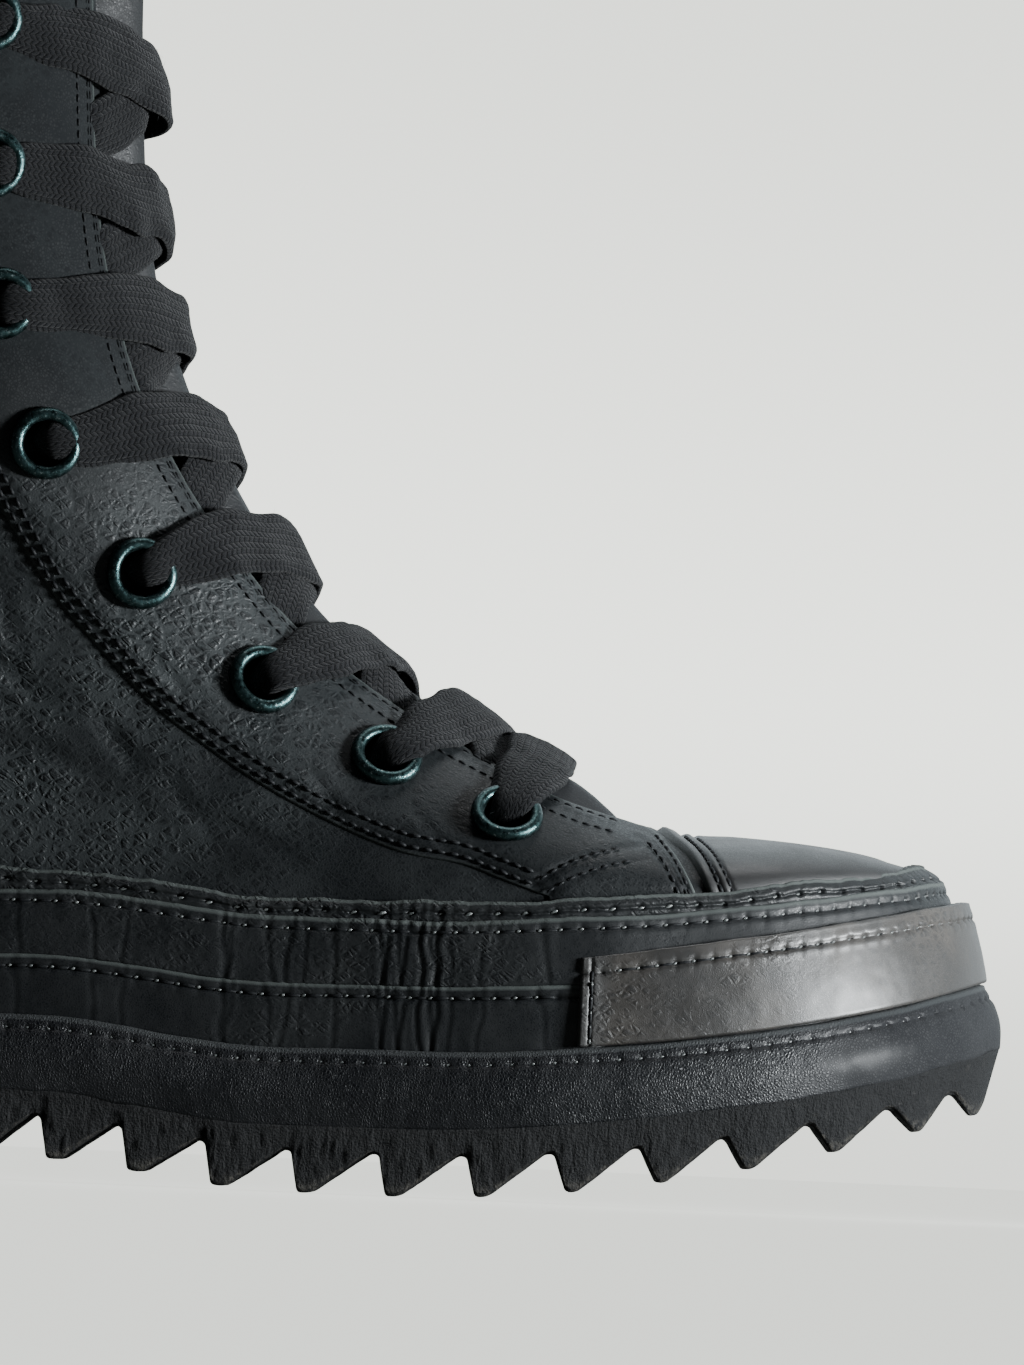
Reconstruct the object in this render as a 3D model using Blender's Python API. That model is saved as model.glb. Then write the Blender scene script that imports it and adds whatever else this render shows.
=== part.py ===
"""Tall lace-up leather sneaker, right shoe, standing on its saw-tooth sole.

Toe along +X, outer (lateral) side along -Y, up along +Z. The origin is on the floor under the middle of the
bounding box. Sizes are in millimetres and become metres where a mesh is made.
"""
import math

import bmesh
import bpy
import numpy as np
from mathutils import Matrix, Vector

MM = 0.001
GAP = 0.3                # clearance between neighbours that touch on the real shoe

# ---- driving sizes ----------------------------------------------------------------------------------------
HALF_LENGTH = 157.6      # half the platform's length
OUTLINE_CENTRE = 0.6     # X of the middle of the platform
COLLAR_Z = 278.0         # height of the shaft's top edge
WALL = 2.4               # leather and lining together
TURNS = 50               # points round the platform's outline
BUMPER_START = 16        # number of the point where the toe bumper starts on the lateral side

# Platform outline from above: share of a turn from the heel's middle round the lateral side, and Y there.
OUTLINE = (
    # turn,   y
    (0.0000, 0.0), (0.0625, -28.0), (0.1250, -41.5), (0.1875, -44.0),
    (0.2500, -48.5), (0.3125, -54.4), (0.3750, -49.5), (0.4375, -27.0),
    (0.5000, 5.0), (0.5625, 36.0), (0.6250, 53.0), (0.6875, 54.0),
    (0.7500, 45.0), (0.8125, 39.0), (0.8750, 40.0), (0.9375, 28.0),
)

# Heights of the platform's layers above the tread line, along the shoe.
LAYERS = (
    # x,   rubber, lower, middle, bumper, foxing, edge
    (-157, 14.8, 31.0, 44.0, 49.5, 58.0, 62.0),
    (-60, 14.8, 31.0, 44.0, 49.5, 58.0, 62.0),
    (-18, 14.2, 30.8, 44.8, 50.0, 59.3, 62.8),
    (25, 14.7, 31.8, 46.0, 50.6, 60.0, 63.5),
    (60, 14.8, 31.4, 45.6, 50.8, 59.9, 63.6),
    (90, 14.6, 30.1, 43.6, 51.0, 58.2, 61.8),
    (112, 13.4, 29.1, 42.0, 50.1, 56.7, 60.2),
    (134, 12.8, 28.0, 40.6, 48.7, 54.4, 58.0),
    (158, 13.3, 28.3, 40.0, 46.6, 52.0, 55.6),
)
LAYER_NAMES = ("rubber", "lower", "middle", "bumper", "foxing", "edge")

# How far each height of the side wall leans in from the platform's outline, at the toe and elsewhere.
LEAN = (
    # height, toe, sides
    (0.0, 4.4, 1.4), (9.0, 0.6, 0.2), (14.5, 0.9, 0.3), (28.0, 4.2, 1.5), (36.0, 6.2, 2.3),
    (46.0, 8.2, 3.0), (52.0, 11.0, 3.9), (54.6, 14.1, 4.3), (57.0, 16.0, 4.6), (64.0, 19.0, 5.4),
)

# Upper, centre line over the toe and instep, as a closed form without its throat.
RIDGE = (
    # x,     z
    (134.0, 76.4), (124.5, 78.9), (111.3, 80.5), (98.3, 81.0), (87.4, 81.2),
    (78.0, 84.6), (61.6, 90.8), (48.0, 97.0), (28.4, 107.2), (5.2, 124.4), (-12.6, 144.0),
    (-24.0, 160.5), (-32.5, 177.0), (-39.0, 196.5), (-42.2, 214.0), (-44.0, 236.0), (-45.4, 260.0),
    (-46.0, COLLAR_Z),
)

# Upper, edge of the throat on each side, from the vamp to the collar.
THROAT = (
    # x,     z
    (75.6, 84.6), (59.2, 88.2), (46.1, 94.1), (26.1, 104.2), (1.7, 121.1), (-16.9, 141.4),
    (-28.4, 157.6), (-37.2, 174.6), (-44.0, 195.5), (-47.4, 214.0), (-49.2, 236.0), (-50.6, 260.0),
    (-51.4, COLLAR_Z),
)

# Upper, profile of the heel and the back of the shaft.
BACK = (
    # x,      z
    (-148.2, 78.0), (-146.4, 100.0), (-142.0, 122.0), (-138.6, 146.0),
    (-138.8, 180.0), (-141.0, 220.0), (-143.0, 256.0), (-143.8, COLLAR_Z),
)

# Half breadth of the heel, ankle and shaft on each side.
BREADTH = (
    # z,   lateral, medial
    (60, 33.0, 33.0), (90, 32.5, 32.5), (120, 32.5, 33.5), (150, 34.5, 35.5), (190, 38.0, 38.5),
    (240, 40.5, 41.0), (COLLAR_Z, 42.0, 42.5),
)

# Centre line of the tongue's outer face, where it shows between the eyelet rows.
TONGUE_LINE = (
    # x,     z
    (92.0, 73.8), (84.0, 75.4), (77.5, 77.6), (73.0, 83.6), (68.0, 89.6), (60.4, 92.8), (29.6, 107.6), (9.6, 121.6),
    (-7.7, 142.0), (-21.1, 164.0), (-31.0, 186.0), (-36.4, 210.9), (-38.4, 236.0), (-39.6, 260.0),
    (-40.0, 281.0),
)

# Eyelet centres, seen square from the side.
EYELETS = (
    # x,     z
    (47.2, 82.6), (20.5, 94.4), (-7.0, 110.2), (-34.5, 132.4), (-56.4, 159.8), (-67.6, 189.8),
    (-71.2, 220.1), (-73.2, 251.6),
)
EYELET_HOLE = 5.0        # radius of the hole that the lace runs through
EYELET_RIM = 7.9         # outer radius of the flange
EYELET_BARREL = 5.7      # outer radius of the barrel in the leather
HOLE_CLEARANCE = 0.35

TOE_SPRING = 23.8        # height of the front tooth over the floor
FOREFOOT_FRONT = 16.0    # X where the flat forefoot ends and the toe spring starts
SPRING_LENGTH = 138.0
SPRING_POWER = 2.1
FOREFOOT_BACK = 5.0      # X where the flat forefoot ends and the arch starts
ARCH_LENGTH = 120.0
ARCH_RISE = 5.2

FRONT_ROUNDING = 44.0    # depth over which the front of the shaft rounds off
BACK_ROUNDING = 30.0     # the same at the heel and the back of the shaft

# ---- tread ------------------------------------------------------------------------------------------------
TOOTH_HEIGHT = 9.2
TOE_TIP_X = 153.6
TOOTH_PITCH = (
    # x,   spacing towards the heel
    (-157, 17.6), (-30, 17.7), (-10, 18.6), (100, 18.9), (118, 17.4), (158, 16.8),
)
TIP_WIDTH = 3.2
RISER_WIDTH = 1.3
ROOT_WIDTH = 1.8


def column(table, index):
    """One column of a table as an array."""
    return np.array([row[index] for row in table], dtype=float)


def look_up(table, index, position):
    """Value of a table's column at a position along its first column."""
    return np.interp(position, column(table, 0), column(table, index))


def smooth(value):
    """Smooth step from 0 to 1 over the unit interval."""
    value = np.clip(value, 0.0, 1.0)
    return value * value * (3.0 - 2.0 * value)


def through(points, count):
    """Smooth curve through a short list of points, read at even distances."""
    points = np.array(points, dtype=float)
    padded = np.vstack([2 * points[0] - points[1], points, 2 * points[-1] - points[-2]])
    steps = np.linspace(0.0, 1.0, 9)[:-1]
    pieces = []
    for start in range(len(points) - 1):
        before, here, there, after = padded[start:start + 4]
        for step in steps:
            pieces.append(0.5 * (2 * here + (there - before) * step
                                 + (2 * before - 5 * here + 4 * there - after) * step ** 2
                                 + (3 * here - before - 3 * there + after) * step ** 3))
    pieces.append(points[-1])
    curve = np.array(pieces)
    travelled = np.concatenate([[0.0], np.cumsum(np.linalg.norm(np.diff(curve, axis=0), axis=1))])
    stations = np.linspace(0.0, travelled[-1], count)
    return np.column_stack([np.interp(stations, travelled, curve[:, axis]) for axis in range(curve.shape[1])])


def rocker(x):
    """Height of the tooth tips above the floor: arch, flat forefoot and toe spring."""
    spring = TOE_SPRING * (np.clip(x - FOREFOOT_FRONT, 0.0, None) / SPRING_LENGTH) ** SPRING_POWER
    arch_share = np.clip((FOREFOOT_BACK - x) / ARCH_LENGTH, 0.0, 1.0)
    return spring + ARCH_RISE * np.sin(math.pi * arch_share) ** 2


def outline_y(turn):
    """Y of the platform's outline at a share of a turn, as a smooth closed curve."""
    knots = column(OUTLINE, 1)
    place = (turn % 1.0) * len(knots)
    first = np.floor(place).astype(int)
    step = place - first
    before, here, there, after = (knots[(first + shift) % len(knots)] for shift in (-1, 0, 1, 2))
    return 0.5 * (2 * here + (there - before) * step
                  + (2 * before - 5 * here + 4 * there - after) * step ** 2
                  + (3 * here - before - 3 * there + after) * step ** 3)


def outline(turn, inset):
    """Points of the platform's outline moved in by inset at each turn."""
    turn = np.asarray(turn, dtype=float)
    angle = 2 * math.pi * turn
    x = OUTLINE_CENTRE - HALF_LENGTH * np.cos(angle)
    y = outline_y(turn)
    small = 1e-4
    dx = HALF_LENGTH * np.sin(angle) * 2 * math.pi
    dy = (outline_y(turn + small) - outline_y(turn - small)) / (2 * small)
    length = np.hypot(dx, dy)
    return np.column_stack([x - dy / length * inset, y + dx / length * inset])


def toe_share(turn):
    """1 at the toe, falling to 0 where the side wall stops leaning in."""
    away = np.abs((np.asarray(turn) % 1.0) - 0.5)
    return 1.0 - smooth(away / 0.20)


def wall_inset(turn, height):
    """How far the side wall lies in from the outline at a height above the tread line."""
    toe = look_up(LEAN, 1, height)
    sides = look_up(LEAN, 2, height)
    return sides + (toe - sides) * toe_share(turn)


def layer_height(name, x):
    """Height of a layer's top above the tread line."""
    return look_up(LAYERS, 1 + LAYER_NAMES.index(name), x)


def layer_ring(name, turns, lift=0.0, extra_inset=0.0):
    """Closed ring of points along the top of a named layer, raised by lift and moved in by extra_inset."""
    rough = outline(turns, 0.0)
    height = layer_height(name, rough[:, 0])
    flat = outline(turns, wall_inset(turns, height) + extra_inset)
    z = rocker(flat[:, 0]) + layer_height(name, flat[:, 0]) + lift
    return np.column_stack([flat, z])


def material(name, colour, roughness, metallic=0.0):
    """Principled material with one colour."""
    made = bpy.data.materials.new(name)
    made.use_nodes = True
    shader = made.node_tree.nodes["Principled BSDF"]
    shader.inputs["Base Color"].default_value = (*colour, 1.0)
    shader.inputs["Roughness"].default_value = roughness
    shader.inputs["Metallic"].default_value = metallic
    made.diffuse_color = (*colour, 1.0)
    return made


def add_object(name, vertices, faces, paint):
    """Object from points in millimetres and faces, with outward normals."""
    mesh = bpy.data.meshes.new(name)
    mesh.from_pydata([Vector(point) * MM for point in vertices], [], faces)
    work = bmesh.new()
    work.from_mesh(mesh)
    bmesh.ops.recalc_face_normals(work, faces=work.faces)
    work.to_mesh(mesh)
    work.free()
    if paint is not None:
        mesh.materials.append(paint)
    thing = bpy.data.objects.new(name, mesh)
    bpy.context.scene.collection.objects.link(thing)
    return thing


def skin(rings, closed=True):
    """Quads between successive rings of equal length, as index tuples."""
    count = len(rings[0])
    faces = []
    for level in range(len(rings) - 1):
        base = level * count
        for index in range(count if closed else count - 1):
            after = (index + 1) % count
            faces.append((base + index, base + after, base + count + after, base + count + index))
    return faces


def ladder(count, base):
    """Cap of a ring whose points pair off across the shoe: index and count - index share one X."""
    faces = [(base, base + 1, base + count - 1)]
    for index in range(1, count // 2 - 1):
        faces.append((base + index, base + index + 1, base + count - index - 1, base + count - index))
    faces.append((base + count // 2 - 1, base + count // 2, base + count // 2 + 1))
    return faces


def slab(name, rings, paint):
    """Closed body through stacked rings with both ends capped."""
    count = len(rings[0])
    faces = skin(rings)
    faces += ladder(count, 0)
    faces += ladder(count, (len(rings) - 1) * count)
    return add_object(name, np.vstack(rings), faces, paint)


def hoop(name, rings, paint):
    """Closed band: the rings run round its section and the last meets the first."""
    count = len(rings[0])
    faces = skin(list(rings) + [rings[0]])
    total = len(rings) * count
    faces = [tuple(index % total for index in face) for face in faces]
    return add_object(name, np.vstack(rings), faces, paint)


# ---- sole -------------------------------------------------------------------------------------------------
def tread_profile():
    """X and height below the rubber's body of each corner of the saw teeth, from toe to heel."""
    corners = [(TOE_TIP_X, 0.0), (TOE_TIP_X - TIP_WIDTH, 0.0)]
    tip = TOE_TIP_X
    heel_end = OUTLINE_CENTRE - HALF_LENGTH + 6.0
    while True:
        riser = tip - TIP_WIDTH
        root = riser - RISER_WIDTH
        pitch = look_up(TOOTH_PITCH, 1, tip)
        if tip - pitch - TIP_WIDTH < heel_end:
            corners += [(root, TOOTH_HEIGHT)]
            return corners
        corners += [(root, TOOTH_HEIGHT - 0.6), (root - ROOT_WIDTH, TOOTH_HEIGHT)]
        tip -= pitch
        corners += [(tip, 0.0), (tip - TIP_WIDTH, 0.0)]


def half_breadths(x, ring):
    """Lateral and medial Y of a closed ring at given X."""
    half = len(ring) // 2
    lateral = ring[:half + 1]
    medial = np.vstack([ring[half:], ring[:1]])[::-1]
    return (np.interp(x, lateral[:, 0], lateral[:, 1]), np.interp(x, medial[:, 0], medial[:, 1]))


def build_outsole(paint):
    """Rubber sole: teeth run straight across, the side wall follows the platform's outline."""
    turns = np.arange(240) / 240
    top = layer_ring("rubber", turns)
    foot = outline(turns, wall_inset(turns, 0.0 * turns + 2.0))
    corners = np.array(tread_profile())
    toe_ends = [foot[:, 0].max() - 0.05, foot[:, 0].max() - 0.9]
    heel_ends = [foot[:, 0].min() + 0.05, foot[:, 0].min() + 0.8, foot[:, 0].min() + 2.6]
    toe_rows = [(toe_ends[0], 5.5), (toe_ends[1], 2.6)]
    corners = [tuple(row) for row in corners if row[0] < toe_ends[1] - 0.6]
    corners += [(heel_ends[2], TOOTH_HEIGHT * 0.86), (heel_ends[1], TOOTH_HEIGHT * 0.6), (heel_ends[0], 4.6)]
    corners = np.array(toe_rows + corners)
    stretch = (top[:, 0].max() - top[:, 0].min() - 0.1) / (foot[:, 0].max() - foot[:, 0].min() - 0.1)
    top_x = top[:, 0].min() + 0.05 + (corners[:, 0] - foot[:, 0].min() - 0.05) * stretch
    low_lateral, low_medial = half_breadths(corners[:, 0], foot)
    top_lateral, top_medial = half_breadths(top_x, top)
    low_z = rocker(corners[:, 0]) + corners[:, 1]
    top_z = rocker(top_x) + layer_height("rubber", top_x)
    points = []
    for row in range(len(corners)):
        points += [(corners[row, 0], low_lateral[row], low_z[row]), (corners[row, 0], low_medial[row], low_z[row]),
                   (top_x[row], top_medial[row], top_z[row]), (top_x[row], top_lateral[row], top_z[row])]
    faces = []
    for row in range(len(corners) - 1):
        base = 4 * row
        faces += [(base + side, base + (side + 1) % 4, base + 4 + (side + 1) % 4, base + 4 + side)
                  for side in range(4)]
    last = 4 * (len(corners) - 1)
    faces += [(0, 1, 2, 3), (last, last + 1, last + 2, last + 3)]
    return add_object("outsole", points, faces, paint)


BAND_INSET = 1.1         # how far the bands lie in from the lower slab's outline
MIDDLE_INSET = 1.7       # the same at the middle slab's foot
LOWER_BULGE = 0.5        # how far the lower slab stands out between its edges
LOWER_EDGE_INSET = 0.9   # how far its edges turn in
FOXING_THICKNESS = 2.2
BUMPER_THICKNESS = 1.8
BUMPER_STEP = 0.004      # share of a turn over which the bands step in behind the bumper
BUMPER_PROUD = 1.5
BUMPER_CLEARANCE = 0.8
UPPER_CLEARANCE = 0.8


def build_platform(paints):
    """Leather-wrapped platform: lower and middle slabs, then two bands and the toe bumper round the upper."""
    turns = platform_turns()
    slab("midsole_lower", [layer_ring("rubber", turns, GAP, LOWER_EDGE_INSET),
                           layer_ring("rubber", turns, GAP + 2.0, -LOWER_BULGE),
                           layer_ring("lower", turns, -2.5, -0.4 * LOWER_BULGE),
                           layer_ring("lower", turns, 0.0, LOWER_EDGE_INSET)], paints["pebbled"])
    middle_low = layer_ring("lower", turns, GAP, MIDDLE_INSET + BUMPER_THICKNESS * toe_side(turns))
    middle_top = layer_ring("middle", turns, 0.0, BAND_INSET + BUMPER_THICKNESS * toe_side(turns))
    slab("midsole_middle", [middle_low, middle_top], paints["smooth"])
    inner = BAND_INSET + FOXING_THICKNESS + BUMPER_THICKNESS
    outer = BAND_INSET + BUMPER_THICKNESS * toe_side(turns)
    hoop("foxing_upper", [layer_ring("middle", turns, GAP, outer), layer_ring("foxing", turns, -1.0, outer - 0.3),
                          layer_ring("foxing", turns, 0.0, outer + 0.5), layer_ring("foxing", turns, 0.0, inner),
                          layer_ring("middle", turns, GAP, inner)], paints["smooth"])
    tape_out = outer + 0.7
    hoop("top_tape", [layer_ring("foxing", turns, GAP, tape_out), layer_ring("edge", turns, -0.6, tape_out),
                      layer_ring("edge", turns, 0.0, tape_out + 0.8), layer_ring("edge", turns, 0.0, inner),
                      layer_ring("foxing", turns, GAP, inner)], paints["smooth"])


def platform_turns():
    """Stations round the platform, with an extra one just behind each end of the toe bumper."""
    even = np.arange(TURNS) / TURNS
    start = BUMPER_START / TURNS
    return np.sort(np.concatenate([even, [start - BUMPER_STEP, 1.0 - start + BUMPER_STEP]]))


def toe_side(turns):
    """1 where the toe bumper wraps the platform, 0 behind its rear edges."""
    start = BUMPER_START / TURNS
    return np.where(np.abs(turns - 0.5) < 0.5 - start + BUMPER_STEP / 2, 1.0, 0.0)


def build_bumper(paint):
    """Strip round the toe, proud of the bands beside it."""
    turns = np.arange(BUMPER_START, TURNS - BUMPER_START + 1) / TURNS
    inner = BAND_INSET + BUMPER_THICKNESS - BUMPER_CLEARANCE
    outer = BAND_INSET - BUMPER_PROUD
    section = [layer_ring("lower", turns, GAP, inner + 0.6), layer_ring("lower", turns, GAP, outer + 1.0),
               layer_ring("lower", turns, 2.0, outer + 0.2), layer_ring("bumper", turns, -1.6, outer),
               layer_ring("bumper", turns, 0.0, outer + 0.8), layer_ring("bumper", turns, 0.0, inner),
               layer_ring("middle", turns, 0.0, inner)]
    count = len(turns)
    faces = skin(section + [section[0]], closed=False)
    total = len(section) * count
    faces = [tuple(index % total for index in face) for face in faces]
    faces.append(tuple(level * count for level in range(len(section))))
    faces.append(tuple(level * count + count - 1 for level in range(len(section))))
    return add_object("toe_bumper", np.vstack(section), faces, paint)


# ---- upper ------------------------------------------------------------------------------------------------
TOE_COLUMNS = 6
THROAT_COLUMNS = 12
COLLAR_COLUMNS = 6
ROWS = 8
TOE_POWER = 2.25         # squareness of the sections over the toe
FOOT_INSET = BAND_INSET + FOXING_THICKNESS + BUMPER_THICKNESS + UPPER_CLEARANCE
SEAT_GAP = 1.1           # height of the upper and insole over the platform
ANKLE_BOW = 10.0         # how far the columns of the upper bend towards the heel
TUCK = 1.5               # how far the upper's free part starts below the top tape's upper edge
EDGE_TURNS = np.arange(240) / 240
EDGE_RING = layer_ring("edge", EDGE_TURNS, -TUCK, FOOT_INSET)
TOE_POINT = EDGE_RING[120, [0, 2]]
HEEL_POINT = EDGE_RING[0, [0, 2]]
RIDGE_CURVE = through([tuple(TOE_POINT)] + list(RIDGE), 240)
BACK_CURVE = through([tuple(HEEL_POINT)] + list(BACK), 120)


def nearest(curve, x, z):
    """Distance from points of the side view to a curve, and the index of its nearest point."""
    gap = np.hypot(curve[None, :, 0] - np.ravel(x)[:, None], curve[None, :, 1] - np.ravel(z)[:, None])
    best = gap.argmin(axis=1)
    return gap.min(axis=1).reshape(np.shape(x)), best.reshape(np.shape(x))


def rounding(depth, power):
    """Share of the full breadth at a share of the depth over which a section rounds off."""
    depth = np.clip(depth, 0.0, 1.0)
    return (1.0 - (1.0 - depth) ** power) ** (1.0 / power)


def breadth(x, z, side):
    """Y of the upper's outer face at points of the side view; side is -1 lateral, 1 medial."""
    x = np.asarray(x, dtype=float)
    z = np.asarray(z, dtype=float)
    lateral, medial = half_breadths(np.clip(x, -112.0, None), EDGE_RING)
    foot = -lateral if side < 0 else medial
    floor = rocker(x) + layer_height("edge", x) - TUCK
    shaft = look_up(BREADTH, 1 if side < 0 else 2, z)
    full = foot + (shaft - foot) * smooth((z - floor) / 62.0)
    front_gap, place = nearest(RIDGE_CURVE, x, z)
    ridge_x = RIDGE_CURVE[place, 0]
    rise = RIDGE_CURVE[place, 1] - rocker(ridge_x) - layer_height("edge", ridge_x) + TUCK
    front_depth = np.clip(rise * 0.92, 2.0, FRONT_ROUNDING)
    back_gap, _ = nearest(BACK_CURVE, x, z)
    return side * full * rounding(front_gap / front_depth, TOE_POWER) * rounding(back_gap / BACK_ROUNDING, 2.2)


def outward(x, z, side):
    """Unit normal of the upper's outer face at a point of the side view."""
    small = 0.5
    slope_x = (breadth(x + small, z, side) - breadth(x - small, z, side)) / (2 * small)
    slope_z = (breadth(x, z + small, side) - breadth(x, z - small, side)) / (2 * small)
    normal = np.array([-slope_x * side, side, -slope_z * side], dtype=float)
    return normal / np.linalg.norm(normal)


def top_line():
    """Side view of the upper's top edge: toe ridge, throat edge, collar, back seam's upper end."""
    toe = RIDGE_CURVE[(RIDGE_CURVE[:, 0] > THROAT[0][0] + 2.5) & (RIDGE_CURVE[:, 0] < TOE_POINT[0] - 6.0)]
    toe = toe[np.linspace(0, len(toe) - 1, TOE_COLUMNS).astype(int)]
    throat = through(THROAT, THROAT_COLUMNS)
    collar_share = 0.5 - 0.5 * np.cos(math.pi * np.linspace(0.0, 1.0, COLLAR_COLUMNS + 1)[1:])
    collar_x = THROAT[-1][0] + (BACK[-1][0] - THROAT[-1][0]) * collar_share
    collar = np.column_stack([collar_x, np.full(COLLAR_COLUMNS, COLLAR_Z)])
    return np.vstack([toe, throat, collar])


def foot_turns():
    """Share of half a turn from toe to heel at which each column of the upper starts."""
    edge_x = EDGE_RING[:, 0]
    toe_x = top_line()[:TOE_COLUMNS, 0]
    half_count = len(EDGE_TURNS) // 2
    share = np.interp(-toe_x, -edge_x[half_count::-1], np.linspace(0.0, 1.0, half_count + 1))
    share[0] = 0.0
    rest = THROAT_COLUMNS + COLLAR_COLUMNS
    onward = np.linspace(0.0, 1.0, rest + 1)[1:]
    return np.concatenate([share, share[-1] + (1.0 - share[-1]) * onward])


def upper_grid(side):
    """Rows by columns of points on the upper's outer face, from the feather edge to the top line."""
    top = top_line()
    turns = 0.5 + side * 0.5 * foot_turns()
    low = layer_ring("middle", turns, SEAT_GAP, FOOT_INSET)
    edge = layer_ring("edge", turns, -TUCK, FOOT_INSET)
    rows = [low, edge]
    behind = smooth((np.arange(len(top)) - TOE_COLUMNS - THROAT_COLUMNS * 0.5) / (THROAT_COLUMNS * 0.5))
    for row in range(1, ROWS + 1):
        share = row / ROWS
        flat = edge[:, [0, 2]] * (1.0 - share) + top * share
        ends = smooth((30.0 - top[:, 0]) / 60.0) * smooth((top[:, 0] + 148.0) / 60.0)
        bow = ANKLE_BOW * math.sin(math.pi * share) * ends
        z = flat[:, 1]
        straight_back = HEEL_POINT[0] + (BACK_CURVE[-1, 0] - HEEL_POINT[0]) * share
        x = flat[:, 0] - bow * 0.5 + behind * (np.interp(z, BACK_CURVE[:, 1], BACK_CURVE[:, 0]) - straight_back)
        y = breadth(x, z, side)
        y[0] = 0.0
        y[-1] = 0.0
        if row == ROWS:
            y[:TOE_COLUMNS] = 0.0
        rows.append(np.column_stack([x, y, z]))
    rows[0][[0, -1], 1] = 0.0
    rows[1][[0, -1], 1] = 0.0
    return np.array(rows)


def upper_shell(name, lift, paint):
    """Open shell of the upper's outer face, moved out along its normals by lift."""
    mesh = bpy.data.meshes.new(name)
    work = bmesh.new()
    for side in (-1, 1):
        grid = upper_grid(side)
        corners = [[work.verts.new(Vector(point) * MM) for point in row] for row in grid]
        for row in range(len(corners) - 1):
            for place in range(len(corners[0]) - 1):
                low, low_next = corners[row][place], corners[row][place + 1]
                high, high_next = corners[row + 1][place], corners[row + 1][place + 1]
                work.faces.new((low, low_next, high)[::side])
                work.faces.new((low_next, high_next, high)[::side])
    bmesh.ops.remove_doubles(work, verts=work.verts, dist=0.01 * MM)
    bmesh.ops.recalc_face_normals(work, faces=work.faces)
    work.normal_update()
    highest = max(work.faces, key=lambda face: face.calc_center_median().x)
    if highest.normal.x < 0.0:
        bmesh.ops.reverse_faces(work, faces=work.faces)
        work.normal_update()
    for vertex in work.verts:
        vertex.co += vertex.normal * lift * MM
    work.to_mesh(mesh)
    work.free()
    mesh.materials.append(paint)
    mesh.shade_smooth()
    thing = bpy.data.objects.new(name, mesh)
    bpy.context.scene.collection.objects.link(thing)
    return thing


def thicken(thing, thickness, direction):
    """Give an open shell a wall; direction is -1 inwards, 1 outwards."""
    wall = thing.modifiers.new("wall", "SOLIDIFY")
    wall.thickness = thickness * MM
    wall.offset = direction
    wall.use_even_offset = True
    wall.use_quality_normals = True


def cut(thing, tool, operation):
    """Boolean with a tool that isn't part of the shoe."""
    tool.hide_render = True
    tool.display_type = "WIRE"
    step = thing.modifiers.new(operation.lower(), "BOOLEAN")
    step.operation = operation
    step.object = tool
    step.solver = "EXACT"


# ---- overlays, cut from the upper's own function ------------------------------------------------------------
OVERLAY_GAP = 0.35
OVERLAY_THICKNESS = 1.2
OVERLAY_FACE = OVERLAY_GAP + OVERLAY_THICKNESS
QUARTER_SEAM = (
    # x,     z
    (57.0, 60.0), (46.5, 69.7), (37.7, 72.6), (24.6, 74.6), (9.1, 80.4), (-6.5, 88.1), (-19.9, 96.6),
    (-31.2, 104.8), (-42.5, 115.9), (-54.0, 128.5), (-65.7, 146.4), (-77.0, 168.0), (-84.0, 192.0),
    (-87.0, 220.0), (-88.5, 250.0), (-89.5, COLLAR_Z - 1.0),
)
EYESTAY_FRONT = (
    # x,     z
    (-20.0, COLLAR_Z - 1.0), (-20.0, 220.0), (40.0, 140.0), (79.0, 92.0), (78.4, 84.0), (81.0, 79.4),
    (84.6, 73.4), (88.0, 66.8),
)
CAP_EDGE = (
    # x,     z
    (87.6, 90.0), (87.8, 80.6), (90.6, 74.2), (94.4, 66.0),
)
CUTTER_REACH = 90.0


def tape_line(start_x, end_x, count):
    """Side view of the line that the overlays end on, just above the top tape."""
    x = np.linspace(start_x, end_x, count)
    z = rocker(x) + layer_height("edge", x) + 1.6
    return list(zip(x, z))


def prism(name, outline_points, near_y, far_y):
    """Cutter with an outline in the side view, reaching from near_y to far_y."""
    count = len(outline_points)
    points = [(x, near_y, z) for x, z in outline_points] + [(x, far_y, z) for x, z in outline_points]
    faces = [tuple(range(count)), tuple(range(2 * count - 1, count - 1, -1))]
    faces += [(index, (index + 1) % count, count + (index + 1) % count, count + index) for index in range(count)]
    return add_object(name, points, faces, None)


def build_overlays(paint):
    """Toe cap and the two eyestays, as panels of the upper's own surface."""
    seam = [tuple(row) for row in through(QUARTER_SEAM, 22)]
    seam = [row for row in seam if row[1] > tape_line(row[0], row[0], 1)[0][1] + 0.5]
    front = [row for row in EYESTAY_FRONT if row[1] > tape_line(row[0], row[0], 1)[0][1] + 0.5]
    eyestay = seam + front + tape_line(88.0, seam[0][0] + 2.0, 5)
    cap_edge = [row for row in CAP_EDGE if row[1] > tape_line(row[0], row[0], 1)[0][1] + 0.5]
    cap = cap_edge + tape_line(94.0, 141.0, 7) + [(141.0, 90.0)]
    made = {}
    for name, area, near_y, far_y in (("toe_cap", cap, -CUTTER_REACH, CUTTER_REACH),
                                      ("eyestay_lateral", eyestay, -CUTTER_REACH, -0.6),
                                      ("eyestay_medial", eyestay, 0.6, CUTTER_REACH)):
        panel = upper_shell(name, OVERLAY_GAP, paint)
        thicken(panel, OVERLAY_THICKNESS, 1)
        cut(panel, prism(f"cutter_{name}", area, near_y, far_y), "INTERSECT")
        made[name] = panel
    return made


# ---- tongue and insole --------------------------------------------------------------------------------------
TONGUE_THICKNESS = 4.0
TONGUE_HALF = 31.0
TONGUE_ROWS = 14
TONGUE_CLEARANCE = 2.1
INSOLE_THICKNESS = 3.0


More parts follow.
